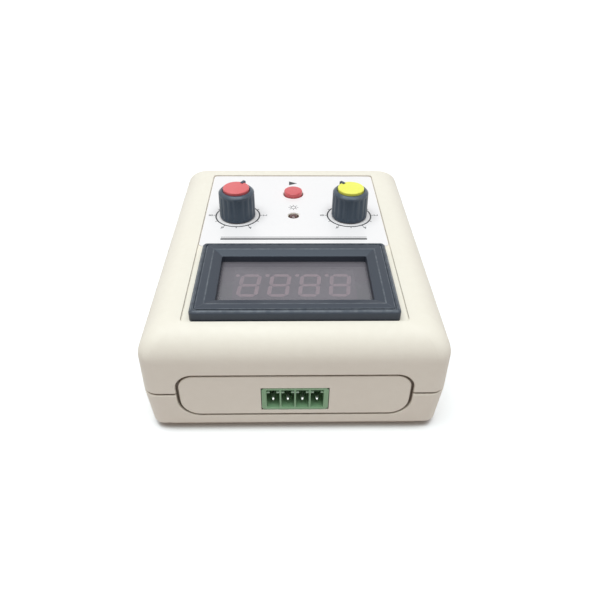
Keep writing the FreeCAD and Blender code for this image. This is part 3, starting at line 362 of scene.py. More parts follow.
def tone_group():
    """Colour that drifts slowly over a piece, with a fine speckle, and a shine that follows it."""
    tree, start, end = group_of(
        "tone_drift",
        [("Colour", COLOUR), ("Drift", COLOUR), ("Scale", NUMBER), ("Amount", NUMBER),
         ("Speckle", NUMBER)],
        [("Colour", COLOUR), ("Shine", NUMBER)])
    here = add(tree, "ShaderNodeTexCoord").outputs["Object"]
    scale = start.outputs["Scale"]
    finer, broad_share, fine_share = 18.0, 0.65, 0.35
    broad = add(tree, "ShaderNodeTexNoise", Vector=here, Scale=scale, Detail=3.0).outputs["Fac"]
    fine = add(tree, "ShaderNodeTexNoise", Vector=here, Scale=maths(tree, "MULTIPLY", scale, finer),
               Detail=2.0).outputs["Fac"]
    patches = maths(tree, "MULTIPLY", spread(tree, broad, 0.35, 0.65, 0.0, 1.0),
                    start.outputs["Amount"])
    specks = maths(tree, "MULTIPLY", spread(tree, fine, 0.4, 0.6, 0.0, 1.0),
                   start.outputs["Speckle"])
    share = add(tree, "ShaderNodeClamp", Value=maths(tree, "ADD", patches, specks)).outputs[0]
    feed(tree, end.inputs["Colour"],
         mixed(tree, share, start.outputs["Colour"], start.outputs["Drift"]))
    shine = maths(tree, "ADD", maths(tree, "MULTIPLY", broad, broad_share),
                  maths(tree, "MULTIPLY", fine, fine_share))
    feed(tree, end.inputs["Shine"], spread(tree, shine, 0.35, 0.65, 0.0, 1.0))
    return tree


def scratch_group():
    """Sparse hairline scratches in two directions."""
    tree, start, end = group_of("hair_scratches", [("Scale", NUMBER), ("Amount", NUMBER)],
                                [("Mask", NUMBER)])
    here = add(tree, "ShaderNodeTexCoord").outputs["Object"]
    lines = []
    for turn, stretch in [(0.5, 0.05), (-0.9, 0.04)]:
        laid = add(tree, "ShaderNodeMapping", Vector=here, Rotation=(0.2, 0.1, turn),
                   Scale=(stretch, 1.0, 1.0)).outputs[0]
        hair = add(tree, "ShaderNodeTexNoise", Vector=laid, Scale=start.outputs["Scale"], Detail=1.0)
        lines.append(spread(tree, hair.outputs["Fac"], 0.66, 0.74, 0.0, 1.0))
    feed(tree, end.inputs["Mask"],
         maths(tree, "MULTIPLY", maths(tree, "MAXIMUM", *lines), start.outputs["Amount"]))
    return tree


def rub_group():
    """Where handling has scuffed an edge and where a lighter edge is painted as a highlight: the piece's
    own edge share, broken up by noise.
    """
    tree, start, end = group_of("edge_rub", [("Scale", NUMBER), ("Amount", NUMBER)], [("Mask", NUMBER)])
    here = add(tree, "ShaderNodeTexCoord").outputs["Object"]
    edge = add(tree, "ShaderNodeAttribute", {"attribute_name": "edge_share"}).outputs["Fac"]
    broken = add(tree, "ShaderNodeTexNoise", Vector=here, Scale=start.outputs["Scale"], Detail=4.0)
    wear_and_highlight = maths(tree, "MULTIPLY", edge, spread(tree, broken.outputs["Fac"], 0.35, 0.7, 0.25, 1.0))
    feed(tree, end.inputs["Mask"], maths(tree, "MULTIPLY", wear_and_highlight, start.outputs["Amount"]))
    return tree


GRAIN, TONE, SCRATCH, RUB_AND_HIGHLIGHT = grain_group(), tone_group(), scratch_group(), rub_group()


# Materials.

def use(tree, group, **inputs):
    """The outputs of a shader node group placed in a material with its own values."""
    item = tree.nodes.new("ShaderNodeGroup")
    item.node_tree = group
    for key, value in inputs.items():
        feed(tree, item.inputs[key], value)
    return item.outputs


def rgb(red, green, blue):
    """A colour as a socket takes it."""
    return (red, green, blue, 1.0)


SCRATCH_SCALE, SCRATCH_DULLS, SCRATCH_CUTS = 2600.0, 0.18, 0.5
RUB_AND_HIGHLIGHT_SCALE, RUB_POLISHES = 700.0, 0.1
JOINT_REACH, JOINT_SHUT, JOINT_OPEN = 2.4, 0.18, 0.46


def openness(tree, reach):
    """How much of the sky a spot sees past what stands nearer than the reach, from 0 to 1."""
    return add(tree, "ShaderNodeAmbientOcclusion", {"samples": 12}, Distance=reach * MM).outputs["AO"]


def finish(name, colour, drift, shine, grain, depth, scale=60.0, amount=0.6, speckle=0.2,
           scratches=0.0, rub=None, painted_shade=None, soft_edge=0.0, **plain):
    """A finish with drifting colour and shine, mould grain, scratches, edges lightened by wear and a
    painted highlight, and painted shade in joints and recesses.

    shine is the range of the roughness, grain the scale of the texture and depth its height in
    millimetres. soft_edge is the radius that hard edges catch the light with, in millimetres.
    """
    material = bpy.data.materials.new(name)
    material.use_nodes = True
    tree = material.node_tree
    shader = tree.nodes["Principled BSDF"]
    tone = use(tree, TONE, Colour=rgb(*colour), Drift=rgb(*drift), Scale=scale, Amount=amount,
               Speckle=speckle)
    base, rough = tone["Colour"], spread(tree, tone["Shine"], 0.0, 1.0, *shine)
    height = use(tree, GRAIN, Scale=grain)["Height"]
    if scratches:
        mask = use(tree, SCRATCH, Scale=SCRATCH_SCALE, Amount=scratches)["Mask"]
        rough = maths(tree, "ADD", rough, maths(tree, "MULTIPLY", mask, SCRATCH_DULLS))
        height = maths(tree, "SUBTRACT", height, maths(tree, "MULTIPLY", mask, SCRATCH_CUTS))
    # The marked edges turn lighter: partly wear, partly a painted highlight where the edges would catch
    # the light.
    if rub:
        wear_and_highlight = use(tree, RUB_AND_HIGHLIGHT, Scale=RUB_AND_HIGHLIGHT_SCALE, Amount=1.0)["Mask"]
        base = mixed(tree, wear_and_highlight, base, rgb(*rub))
        rough = maths(tree, "SUBTRACT", rough, maths(tree, "MULTIPLY", wear_and_highlight, RUB_POLISHES))
    # Painted shade: the colour goes darker where ambient occlusion finds the surface closed in, in
    # joints, grooves, recesses and under overhangs.
    if painted_shade:
        shut = spread(tree, openness(tree, JOINT_REACH), JOINT_SHUT, JOINT_OPEN, 1.0, 0.0)
        base = mixed(tree, shut, base, rgb(*painted_shade))
    bump = add(tree, "ShaderNodeBump", Height=height, Distance=depth * MM, Strength=1.0)
    if soft_edge:
        softened = add(tree, "ShaderNodeBevel", {"samples": 6}, Radius=soft_edge * MM)
        feed(tree, bump.inputs["Normal"], softened.outputs[0])
    feed(tree, shader.inputs["Base Color"], base)
    feed(tree, shader.inputs["Roughness"], rough)
    feed(tree, shader.inputs["Normal"], bump.outputs["Normal"])
    for key, value in plain.items():
        shader.inputs[key.replace("_", " ")].default_value = value
    return material


WINDOW_CLEAR, WINDOW_HAZY = 0.34, 0.40


def smoked_window():
    """Dark see-through acrylic: glossy, with a faint uneven haze."""
    material = finish(
        "smoked_window", colour=(0.328, 0.297, 0.332), drift=(0.352, 0.320, 0.356),
        shine=(0.05, 0.10), grain=300.0, depth=0.0005, scale=40.0, IOR=1.62)
    tree = material.node_tree
    haze = add(tree, "ShaderNodeTexNoise", Vector=add(tree, "ShaderNodeTexCoord").outputs["Object"],
               Scale=90.0, Detail=3.0).outputs["Fac"]
    feed(tree, tree.nodes["Principled BSDF"].inputs["Alpha"],
         spread(tree, haze, 0.3, 0.7, WINDOW_CLEAR, WINDOW_HAZY))
    return material


COOL_SHEEN = rgb(0.84, 0.92, 1.0)
MATERIALS = {
    # The case plastic gets painted shade, a dark brown, in its joints and grooves and under its
    # overhang.
    "case_plastic": finish(
        "beige_case_plastic", colour=(0.905, 0.838, 0.728), drift=(0.882, 0.813, 0.702),
        shine=(0.46, 0.58), grain=2600.0, depth=0.012, scale=28.0, speckle=0.35, scratches=0.15,
        painted_shade=(0.340, 0.280, 0.226), soft_edge=0.18),
    "label_film": finish(
        "white_label_film", colour=(0.930, 0.882, 0.878), drift=(0.908, 0.862, 0.858),
        shine=(0.30, 0.40), grain=3400.0, depth=0.003, scale=45.0),
    # The lighter edge colour on the meter frame is mostly a painted highlight along its edges, with some
    # wear.
    "bezel_plastic": finish(
        "black_meter_plastic", colour=(0.031, 0.037, 0.051), drift=(0.039, 0.045, 0.061),
        shine=(0.40, 0.47), grain=3800.0, depth=0.006, amount=0.2, speckle=0.1, scratches=0.3,
        rub=(0.140, 0.154, 0.174), Specular_Tint=COOL_SHEEN),
    "window_tint": smoked_window(),
    "display_face": finish(
        "dark_digit_face", colour=(0.030, 0.026, 0.028), drift=(0.022, 0.019, 0.021),
        shine=(0.50, 0.65), grain=5000.0, depth=0.0005),
    "display_segments": finish(
        "unlit_digit_segments", colour=(0.560, 0.362, 0.385), drift=(0.505, 0.322, 0.346),
        shine=(0.40, 0.55), grain=4000.0, depth=0.0005, scale=300.0),
    # The knob's lighter edge colour is a painted highlight on its top rim and flute ridges, with some
    # wear.
    "knob_plastic": finish(
        "charcoal_knob_plastic", colour=(0.033, 0.051, 0.075), drift=(0.043, 0.062, 0.089),
        shine=(0.34, 0.48), grain=3600.0, depth=0.006, scale=120.0, scratches=0.4,
        rub=(0.080, 0.094, 0.115), Specular_Tint=COOL_SHEEN),
    "red_cap": finish(
        "red_cap_plastic", colour=(0.750, 0.142, 0.148), drift=(0.700, 0.118, 0.125),
        shine=(0.30, 0.40), grain=4200.0, depth=0.003, scale=160.0, scratches=0.3),
    "yellow_cap": finish(
        "yellow_cap_plastic", colour=(0.920, 0.900, 0.132), drift=(0.885, 0.855, 0.108),
        shine=(0.30, 0.40), grain=4200.0, depth=0.003, scale=160.0, scratches=0.3),
    "red_button": finish(
        "red_button_plastic", colour=(0.705, 0.118, 0.128), drift=(0.640, 0.096, 0.106),
        shine=(0.26, 0.36), grain=4200.0, depth=0.003, scale=160.0, scratches=0.3),
    "lamp_lens": finish(
        "tinted_lamp_lens", colour=(0.100, 0.030, 0.026), drift=(0.076, 0.022, 0.018),
        shine=(0.10, 0.18), grain=1800.0, depth=0.004, scale=500.0, Coat_Weight=0.35),
    # The header's pale green edge colour is a painted highlight on the cell mouths, with some wear.
    "header_plastic": finish(
        "green_header_plastic", colour=(0.262, 0.448, 0.255), drift=(0.226, 0.400, 0.220),
        shine=(0.34, 0.46), grain=3200.0, depth=0.006, scale=140.0, scratches=0.2,
        rub=(0.470, 0.620, 0.510)),
    "tinned_contact": finish(
        "tinned_contact_metal", colour=(0.780, 0.770, 0.750), drift=(0.660, 0.655, 0.640),
        shine=(0.20, 0.36), grain=2400.0, depth=0.004, scale=500.0, scratches=0.8, Metallic=1.0),
    "plated_steel": finish(
        "zinc_plated_steel", colour=(0.620, 0.620, 0.610), drift=(0.520, 0.525, 0.520),
        shine=(0.26, 0.44), grain=2200.0, depth=0.005, scale=350.0, scratches=0.8, Metallic=1.0),
    "black_plastic": finish(
        "black_nylon", colour=(0.016, 0.016, 0.017), drift=(0.024, 0.024, 0.025), shine=(0.40, 0.54),
        grain=3000.0, depth=0.006, scale=150.0),
    "shaft_plastic": finish(
        "pale_shaft_nylon", colour=(0.520, 0.515, 0.490), drift=(0.460, 0.455, 0.430),
        shine=(0.38, 0.50), grain=2600.0, depth=0.005, scale=150.0),
    "board_fibre": finish(
        "green_board_mask", colour=(0.012, 0.110, 0.042), drift=(0.010, 0.085, 0.034),
        shine=(0.22, 0.34), grain=1500.0, depth=0.010, scale=110.0, speckle=0.5),
    "plug_plastic": finish(
        "ivory_plug_nylon", colour=(0.700, 0.680, 0.600), drift=(0.640, 0.615, 0.540),
        shine=(0.38, 0.50), grain=2600.0, depth=0.005, scale=150.0),
    "wire_cover": finish(
        "red_wire_cover", colour=(0.420, 0.030, 0.026), drift=(0.350, 0.022, 0.020),
        shine=(0.40, 0.52), grain=3000.0, depth=0.004, scale=260.0),
    "ferrite": finish(
        "dark_ferrite", colour=(0.050, 0.050, 0.053), drift=(0.036, 0.036, 0.039), shine=(0.55, 0.70),
        grain=2400.0, depth=0.014, scale=300.0, speckle=0.6),
    "copper_turns": finish(
        "lacquered_copper", colour=(0.640, 0.260, 0.110), drift=(0.520, 0.190, 0.080),
        shine=(0.22, 0.36), grain=1600.0, depth=0.020, scale=260.0, Metallic=0.9),
    "capacitor_can": finish(
        "capacitor_sleeve", colour=(0.030, 0.034, 0.060), drift=(0.040, 0.045, 0.075),
        shine=(0.28, 0.40), grain=2000.0, depth=0.005, scale=160.0),
}
LABEL_INK = finish(
    "dark_label_ink", colour=(0.016, 0.017, 0.020), drift=(0.034, 0.036, 0.041), shine=(0.42, 0.55),
    grain=5200.0, depth=0.002, scale=420.0, speckle=0.5)


# Pieces.

def piece(name, mesh, slot, body="case", nodes=(), material=None):
    """A finished piece on its body, standing for the frame nodes that it replaces."""
    mesh.materials.clear()
    mesh.materials.append(material or MATERIALS[slot])
    mesh.name = name
    item = bpy.data.objects.new(name, mesh)
    scene.collection.objects.link(item)
    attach(item, body)
    if nodes:
        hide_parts(*nodes)
    return item


def mark_edges(mesh, share):
    """Store how much of an edge each point is, from 0 to 1, for the finish that lightens edges with wear
    and a painted highlight.
    """
    store = mesh.attributes.new("edge_share", "FLOAT", "POINT")
    for vertex, value in zip(mesh.vertices, store.data):
        value.value = share(vertex.co / MM)
    return mesh


# Insets from the frame's outer edge where edges are lightened: painted highlight lines, with some wear,
# along the outer edge, both sides of the groove and the dish's edge.
RUBBED_AND_LIT_INSETS = [(0.3, 0.6), (0.85, 0.98), (1.28, 1.4), (3.0, 3.3)]


def make_meter_frame():
    """Framed meter front: eased outer edge, a fine groove round the border, a sloped dish and a well."""
    low, high = (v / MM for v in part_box("meter_bezel"))
    y, top, flange = (low.y + high.y) / 2, high.z, RECESS_FLOOR
    hx, hy = high.x, (high.y - low.y) / 2
    groove, shelf = top - 0.26, flange + 0.3
    inset = [  # inset from the outer edge, corner radius, height
        (0.0, 1.0, flange), (0.0, 1.0, top - 0.55), (0.05, 1.0, top - 0.40), (0.38, 0.85, top - 0.07),
        (0.52, 0.80, top), (0.70, 0.75, top), (0.90, 0.70, top), (0.96, 0.68, top - 0.03),
        (1.00, 0.66, groove), (1.26, 0.60, groove), (1.30, 0.58, top - 0.03), (1.36, 0.56, top),
        (1.52, 0.54, top), (2.94, 0.37, top), (3.08, 0.35, top), (3.22, 0.30, top - 0.04),
        (3.40, 0.295, top - 0.10), (5.40, 0.22, top - 0.765), (5.50, 0.20, top - 0.86),
        (5.50, 0.20, shelf), (2.7, 0.3, shelf), (2.7, 0.3, low.z), (1.5, 0.5, low.z),
        (1.5, 0.5, flange)]
    loops = [rounded_loop(hx - i, hy - i, r, z, y) for i, r, z in inset]
    mesh = smoothed(loft("meter_frame", loops, joined=True), sharp=50)

    def share(p):
        reach = min(hx - abs(p.x), hy - abs(p.y - y))
        outer_wall = p.z < top - 0.45 and reach < 1
        rubbed_and_lit = any(start < reach < stop for start, stop in RUBBED_AND_LIT_INSETS)
        return 1.0 if rubbed_and_lit and not outer_wall else 0.0
    return piece("meter_frame", mark_edges(mesh, share), "bezel_plastic", nodes=["meter_bezel"])


def knob_sector(flutes, rows, depth, half_angle, columns=14):
    """One fluted slice of a knob: rows of (radius, height, flute share) swept over one pitch."""
    points, faces = [], []
    for radius, height, groove in rows:
        for i in range(columns + 1):
            a = (i / columns - 0.5) * 2 * math.pi / flutes
            hollow = max(0.0, math.cos(math.pi / 2 * min(1.0, abs(a) / half_angle))) ** 1.4
            r = radius - depth * groove * hollow
            points.append((r * math.cos(a), r * math.sin(a), height))
    wide = columns + 1
    for j in range(len(rows)):
        a, b = j * wide, (j + 1) % len(rows) * wide
        faces += [(a + i, a + i + 1, b + i + 1, b + i) for i in range(columns)]
    return mesh_of("knob_sector", points, faces)


def eased_bar(name, half_x, half_y, low, high, ease):
    """A bar with its upper edges eased over."""
    loops = [rounded_loop(half_x, half_y, ease, low, steps=3)]
    for a in (0, 22.5, 45, 67.5, 90):
        turn = math.radians(a)
        inset = ease * (1 - math.cos(turn))
        loops.append(rounded_loop(half_x - inset, half_y - inset, max(ease - inset, 0.01),
                                  high - ease + ease * math.sin(turn), steps=3))
    return loft(name, loops)


FLUTES, FLUTE_DEPTH, FLUTE_HALF_ANGLE = 18, 0.18, 7.4
KNOB_ROWS = [  # radius, height above the knob's foot, share of the flute
    (3.05, 0.0, 0), (4.90, 0.0, 0), (5.08, 0.06, 0), (5.15, 0.24, 0), (5.15, 0.70, 0),
    (5.147, 0.82, 0.45), (5.143, 1.0, 0.85), (5.14, 1.3, 1), (5.11, 4.0, 1), (5.08, 6.5, 1),
    (5.075, 6.8, 0.85), (5.072, 6.98, 0.45), (5.07, 7.1, 0), (5.07, 7.38, 0), (5.03, 7.50, 0),
    (4.93, 7.61, 0), (4.52, 8.02, 0), (4.40, 8.10, 0), (3.92, 8.10, 0), (3.80, 7.98, 0),
    (3.80, 6.60, 0), (3.05, 6.60, 0)]
RIDGE_RADIUS, RIDGE_HEIGHTS, RIDGE_RUB_AND_HIGHLIGHT = 5.02, (0.8, 7.2), 0.15
RIM_RADIUS, RIM_HEIGHTS = 4.3, (7.3, 8.2)
POINTER_HALF_X, POINTER_HALF_Y, POINTER_REACH = 0.45, 0.825, 3.725
POINTER_FOOT, POINTER_TOP, POINTER_EASE = 6.6, 9.05, 0.12
DIAL_FIRST, DIAL_SWEEP, DIAL_STEPS = 28.0, 304.0, 10
VOLTAGE_SHORT_OF_LAST = 8.0


def knob_axis(name):
    """Where a knob's upright axis stands, as x and y."""
    low, high = (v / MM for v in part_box(name + "_knob"))
    return (low.x + high.x) / 2, (low.y + high.y) / 2


def make_knob(name, pointer, ring):
    """A fluted knob with its raised pointer, about its own axis and then put on its shaft."""
    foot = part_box(name + "_knob")[0].z / MM
    sector = knob_sector(FLUTES, KNOB_ROWS, FLUTE_DEPTH, math.radians(FLUTE_HALF_ANGLE))
    body = repeated(name + "_flutes", ring, sector, MATERIALS["knob_plastic"], Count=FLUTES,
                    First_Turn=0.0, Turn_Step=2 * math.pi / FLUTES)
    rib = eased_bar("pointer_rib", POINTER_HALF_X, POINTER_HALF_Y, POINTER_FOOT, POINTER_TOP,
                    POINTER_EASE)
    rib = moved(moved(rib, y=POINTER_REACH), turn=-pointer)
    mesh = smoothed(gathered(name, [body, rib]), sharp=45)

    # The top rim is lightened fully and the flute ridges a little: a painted highlight, with some wear.
    def share(p):
        r = math.hypot(p.x, p.y)
        if r > RIM_RADIUS and RIM_HEIGHTS[0] < p.z < RIM_HEIGHTS[1]:
            return 1.0
        return RIDGE_RUB_AND_HIGHLIGHT if r > RIDGE_RADIUS and RIDGE_HEIGHTS[0] < p.z < RIDGE_HEIGHTS[1] else 0.0
    mesh = moved(mark_edges(mesh, share), *knob_axis(name), foot)
    return piece(name + "_fluted_knob", mesh, "knob_plastic", name + "_dial", [name + "_knob"])


def make_start_key():
    """Round push button with a softly crowned top, hollow below for its plunger."""
    low, high = (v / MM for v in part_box("start_button"))
    middle, h = (low.y + high.y) / 2, high.z - low.z
    r, ease, crown, socket_r, socket_h = high.y - middle, 0.38, 0.06, 1.5, 3.9
    profile = [(0, socket_h), (socket_r, socket_h), (socket_r, 0.0), (r - 0.1, 0.0), (r, 0.1),
               (r, h - ease - crown)]
    profile += [(r - ease + ease * math.cos(a), h - ease - crown + ease * math.sin(a))
                for a in (math.radians(d) for d in range(10, 81, 10))]
    profile += [(r - ease - 0.1, h - 0.05), (1.4, h - 0.02), (0.7, h - 0.004), (0, h)]
    mesh = moved(smoothed(lathe("start_key", profile), sharp=50), 0, middle, low.z)
    return piece("start_key", mesh, "red_button", "start_key", ["start_button"])


def make_lamp():
    """Small round lamp: flange, barrel and domed lens."""
    low, high = (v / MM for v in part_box("indicator_led"))
    h, flange, flange_h, barrel = high.z - low.z, 1.9, 0.8, 1.5
    profile = [(0, 0), (flange - 0.1, 0), (flange, 0.1), (flange, flange_h - 0.08),
               (flange - 0.1, flange_h), (barrel + 0.06, flange_h), (barrel, flange_h + 0.06),
               (barrel, h - barrel)]
    profile += [(barrel * math.cos(a), h - barrel + barrel * math.sin(a))
                for a in (math.radians(d) for d in range(6, 90, 6))]
    profile.append((0, h))
    mesh = moved(smoothed(lathe("lamp", profile, steps=64), sharp=50), 0, (low.y + high.y) / 2, low.z)
    return piece("indicator_lamp", mesh, "lamp_lens", nodes=["indicator_led"])


HEADER_WAYS, HEADER_PITCH, HEADER_WALL, HEADER_LIP = 4, 3.5, 0.4, 0.6
HEADER_CORNER, HEADER_EASE, HEADER_RUB_AND_HIGHLIGHT_DEPTH, CELL_DEPTH = 0.55, 0.08, 0.4, 6.4
KEY_HALF_X, KEY_HALF_Z, KEY_SHORT, KEY_EASE = 0.425, 0.275, 0.3, 0.06
KEY_FROM_SIDE, KEY_FROM_TOP = 0.325, 1.025


def cut_corners(mesh, width):
    """The mesh with the four long corners of its block cut off."""
    bm = bmesh.new()
    bm.from_mesh(mesh)
    xs, zs = [v.co.x for v in bm.verts], [v.co.z for v in bm.verts]
    ends = [(x, z) for x in (min(xs), max(xs)) for z in (min(zs), max(zs))]

    def at_corner(vertex):
        return any(math.hypot(vertex.co.x - x, vertex.co.z - z) < 1e-7 for x, z in ends)
    corners = [edge for edge in bm.edges if all(at_corner(v) for v in edge.verts)]
    bmesh.ops.bevel(bm, geom=corners, offset=width * MM, segments=1, affect="EDGES")
    bm.to_mesh(mesh)
    bm.free()
    return mesh


def make_header(row):
    """Green terminal header: a row of open cells with eased mouths and two key ribs in each."""
    low, high = (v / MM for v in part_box("terminal_header"))
    floor, half = low.y + CELL_DEPTH, (HEADER_PITCH - HEADER_WALL) / 2
    xs = sorted([low.x, high.x] + [(way - (HEADER_WAYS - 1) / 2) * HEADER_PITCH + side * half
                                   for way in range(HEADER_WAYS) for side in (-1, 1)])
    zs = [low.z, low.z + HEADER_LIP, high.z - HEADER_LIP, high.z]
    spots, faces = {}, []

    def quad(*ends):
        faces.append([spots.setdefault(end, len(spots)) for end in ends])
    for i in range(len(xs) - 1):
        for j in range(len(zs) - 1):
            square = [(i, j), (i + 1, j), (i + 1, j + 1), (i, j + 1)]
            cell = j == 1 and i % 2 == 1
            quad(*[(*c, floor if cell else low.y) for c in square])
            quad(*[(*c, high.y) for c in square])
            for c, d in zip(square, square[1:] + square[:1]):
                at_side = c[0] == d[0] and c[0] in (0, len(xs) - 1)
                at_top_or_foot = c[1] == d[1] and c[1] in (0, len(zs) - 1)
                if cell or at_side or at_top_or_foot:
                    back = floor if cell else high.y
                    quad((*c, low.y), (*d, low.y), (*d, back), (*c, back))
    block = mesh_of("header_shell", [(xs[i], y, zs[j]) for i, j, y in spots], faces)
    shell = eased(cut_corners(block, HEADER_CORNER), HEADER_EASE)
    ribs = []
    for side in (-1, 1):
        rib = eased_bar("key_rib", KEY_HALF_X, KEY_HALF_Z, 0.0, CELL_DEPTH - KEY_SHORT, KEY_EASE)
        place = Vector((side * (half - KEY_FROM_SIDE), floor, zs[2] - KEY_FROM_TOP))
        rib.transform(Matrix.Translation(place * MM) @ Matrix.Rotation(math.pi / 2, 4, "X"))
        ribs.append(rib)
    keys = repeated("key_ribs", row, gathered("key_pair", ribs), MATERIALS["header_plastic"],
                    Count=HEADER_WAYS, Pitch=HEADER_PITCH * MM)
    mesh = gathered("header", [shell, smoothed(keys)])

    # The cell mouths and the key ribs' front ends are lightened: a painted highlight where they catch
    # light, with some wear.
    def share(p):
        in_mouth = xs[1] < p.x < xs[-2] and zs[1] < p.z < zs[2]
        return 1.0 if in_mouth and p.y < low.y + HEADER_RUB_AND_HIGHLIGHT_DEPTH else 0.0
    return piece("terminal_header_shell", mark_edges(mesh, share), "header_plastic",
                 nodes=["terminal_header"])


PIN_HALF, PIN_EASE, TAIL_HALF, TAIL_TAPER = 0.5, 0.05, 0.32, 0.5


def make_pins(row):
    """Four square pins with tapered tips that run back and turn down through the board."""
    low, high = (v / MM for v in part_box("terminal_pins"))
    axis, leg = high.z - PIN_HALF, high.y - PIN_HALF
    bar = [  # y along the pin, half thickness
        (low.y, 0.18), (low.y + 0.14, 0.27), (low.y + 1.05, PIN_HALF), (leg - PIN_HALF, PIN_HALF),
        (high.y, PIN_HALF)]
    tail = [(low.z + TAIL_TAPER, PIN_HALF), (low.z, TAIL_HALF)]  # z down the leg, half thickness
    points = [(sx * h, y, axis + sz * h) for y, h in bar for sx, sz in SQUARE]
    points += [(sx * h, leg + sy * h, z) for z, h in tail for sx, sy in SQUARE]
    rings = [range(i, i + 4) for i in range(0, len(points), 4)]
    tip, before_leg, back, knee, foot = rings[0], rings[3], rings[4], rings[5], rings[6]
    faces = [tuple(tip), tuple(back), tuple(foot)]
    for ring, other in zip(rings[:3], rings[1:4]):
        faces += bridged(ring, other)
    underside, *sides = bridged(before_leg, back)
    faces += sides + bridged(underside, knee) + bridged(knee, foot)
    pin = mesh_of("pin", points, faces)
    mesh = repeated("terminal_pins", row, pin, MATERIALS["tinned_contact"], Count=HEADER_WAYS,
                    Pitch=HEADER_PITCH * MM)
    return piece("terminal_pin_row", eased(mesh, PIN_EASE), "tinned_contact", nodes=["terminal_pins"])


SCREW_HEAD, SCREW_SHANK, SCREW_DOME, SCREW_ROWS_APART = 2.4, 1.5, 0.34, 71.0
CROSS_HALF_WIDTH, CROSS_REACH, CROSS_DEPTH = 0.34, 1.42, 0.85
CROSS_WALL, CROSS_END = 0.10, 0.22
HEAD_RINGS = [0.0, 0.25, 0.5, 0.75, 0.95, 1.1, 1.25, 1.45, 1.7, 1.95, 2.15, 2.3, SCREW_HEAD]


def make_case_screws(corners):
    """Domed screws with a cross recess, heads down in the base's four sockets."""
    low, high = (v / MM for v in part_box("case_screws"))
    length = high.z - low.z

    def held(value):
        return max(0.0, min(1.0, value))

    def face_height(x, y):
        across, along = sorted((abs(x), abs(y)))
        cross = held((CROSS_HALF_WIDTH - across) / CROSS_WALL) * held((CROSS_REACH - along) / CROSS_END)
        return SCREW_DOME * (math.hypot(x, y) / SCREW_HEAD) ** 2 + CROSS_DEPTH * cross
    profile = [(ring, face_height) for ring in HEAD_RINGS]
    profile += [(SCREW_HEAD, 0.9), (SCREW_HEAD - 0.06, 1.75), (SCREW_HEAD - 0.12, 1.8),
                (SCREW_SHANK, 1.8), (SCREW_SHANK, length - 1.0), (0.6, length), (0, length)]
    screw = moved(lathe("screw", profile, steps=72), z=low.z)
    mesh = repeated("case_screws", corners, screw, MATERIALS["plated_steel"],
                    Width=(high.x - low.x - 2 * SCREW_HEAD) * MM, Depth=SCREW_ROWS_APART * MM)
    return piece("case_screw_set", smoothed(mesh, sharp=40), "plated_steel", nodes=["case_screws"])


INLET_BORE, INLET_DEPTH, INLET_PIN, INLET_PIN_EASE = 3.15, 9.5, 1.0, 0.6


def make_jack():
    """Supply inlet: a block with an eased round mouth, and its centre pin with a rounded tip."""
    low, high = (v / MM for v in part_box("jack_body"))
    pin_low, pin_high = (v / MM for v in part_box("jack_pin"))
    turns = [2 * math.pi * i / 96 for i in range(96)]
    half_x, half_z, middle = high.x, (high.z - low.z) / 2, (high.z + low.z) / 2
    axis, mouth = (pin_low.z + pin_high.z) / 2, high.y

    def square_loop(inset, y):
        reach = [min((half_x - inset) / max(abs(math.cos(a)), 1e-9),
                     (half_z - inset) / max(abs(math.sin(a)), 1e-9)) for a in turns]
        return [(r * math.cos(a), y, middle + r * math.sin(a)) for r, a in zip(reach, turns)]

    def round_loop(wider, y):
        radius = INLET_BORE + wider
        return [(radius * math.cos(a), y, axis + radius * math.sin(a)) for a in turns]
    shell = loft("inlet_shell", [
        square_loop(0.0, low.y), square_loop(0.0, mouth - 0.25), square_loop(0.08, mouth - 0.07),
        square_loop(0.25, mouth), round_loop(0.45, mouth), round_loop(0.2, mouth - 0.06),
        round_loop(0.05, mouth - 0.25), round_loop(0.0, mouth - 0.6),
        round_loop(0.0, mouth - INLET_DEPTH)])
    piece("supply_inlet_shell", smoothed(shell, sharp=45), "black_plastic", nodes=["jack_body"])
    straight = pin_high.y - pin_low.y - INLET_PIN_EASE
    profile = [(0, 0), (INLET_PIN, 0), (INLET_PIN, straight)]
    profile += [(INLET_PIN - INLET_PIN_EASE * (1 - math.cos(a)),
                 straight + INLET_PIN_EASE * math.sin(a))
                for a in (math.radians(d) for d in range(15, 91, 15))]
    profile.append((0, pin_high.y - pin_low.y))
    mesh = lathe("inlet_pin", profile, steps=48)
    mesh.transform(Matrix.Translation(Vector((0, pin_low.y, axis)) * MM)
                   @ Matrix.Rotation(-math.pi / 2, 4, "X"))
    piece("supply_inlet_pin", smoothed(mesh, sharp=50), "plated_steel", nodes=["jack_pin"])


# Print on the label.

INK_LOW, INK_HIGH = LABEL_TOP, LABEL_TOP + 0.02
RING_INNER, RING_OUTER = 6.16, 6.56
TICK_INNER, TICK_OUTER, TICK_HALF = 6.50, 7.15, 0.10
NUMBER_FOOT, NUMBER_SIZE = 7.35, 1.75
RULE_HALF, LONG_RULE, FINE_RULE = 20.2, (-3.75, -3.05), (-2.55, -2.35)
TRIANGLE = [(-1.3, 29.0), (1.3, 30.3), (-1.3, 31.6)]
LAMP_MARK_Y, LAMP_MARK_INNER, LAMP_MARK_OUTER = 14.4, 0.62, 0.82
LAMP_RAYS, RAY_HALF, RAY_INNER, RAY_OUTER = 8, 0.09, 1.05, 1.5
DASH_HALF, DASH_FROM, DASH_TO = 4.0, 20.9, 21.2


def flat_ring(name, inner, outer, steps=120):
    """A printed ring about the origin."""
    loops = [[(r * math.cos(2 * math.pi * i / steps), r * math.sin(2 * math.pi * i / steps), z)
              for i in range(steps)]
             for r, z in [(inner, INK_LOW), (outer, INK_LOW), (outer, INK_HIGH), (inner, INK_HIGH)]]
    return loft(name, loops, joined=True)


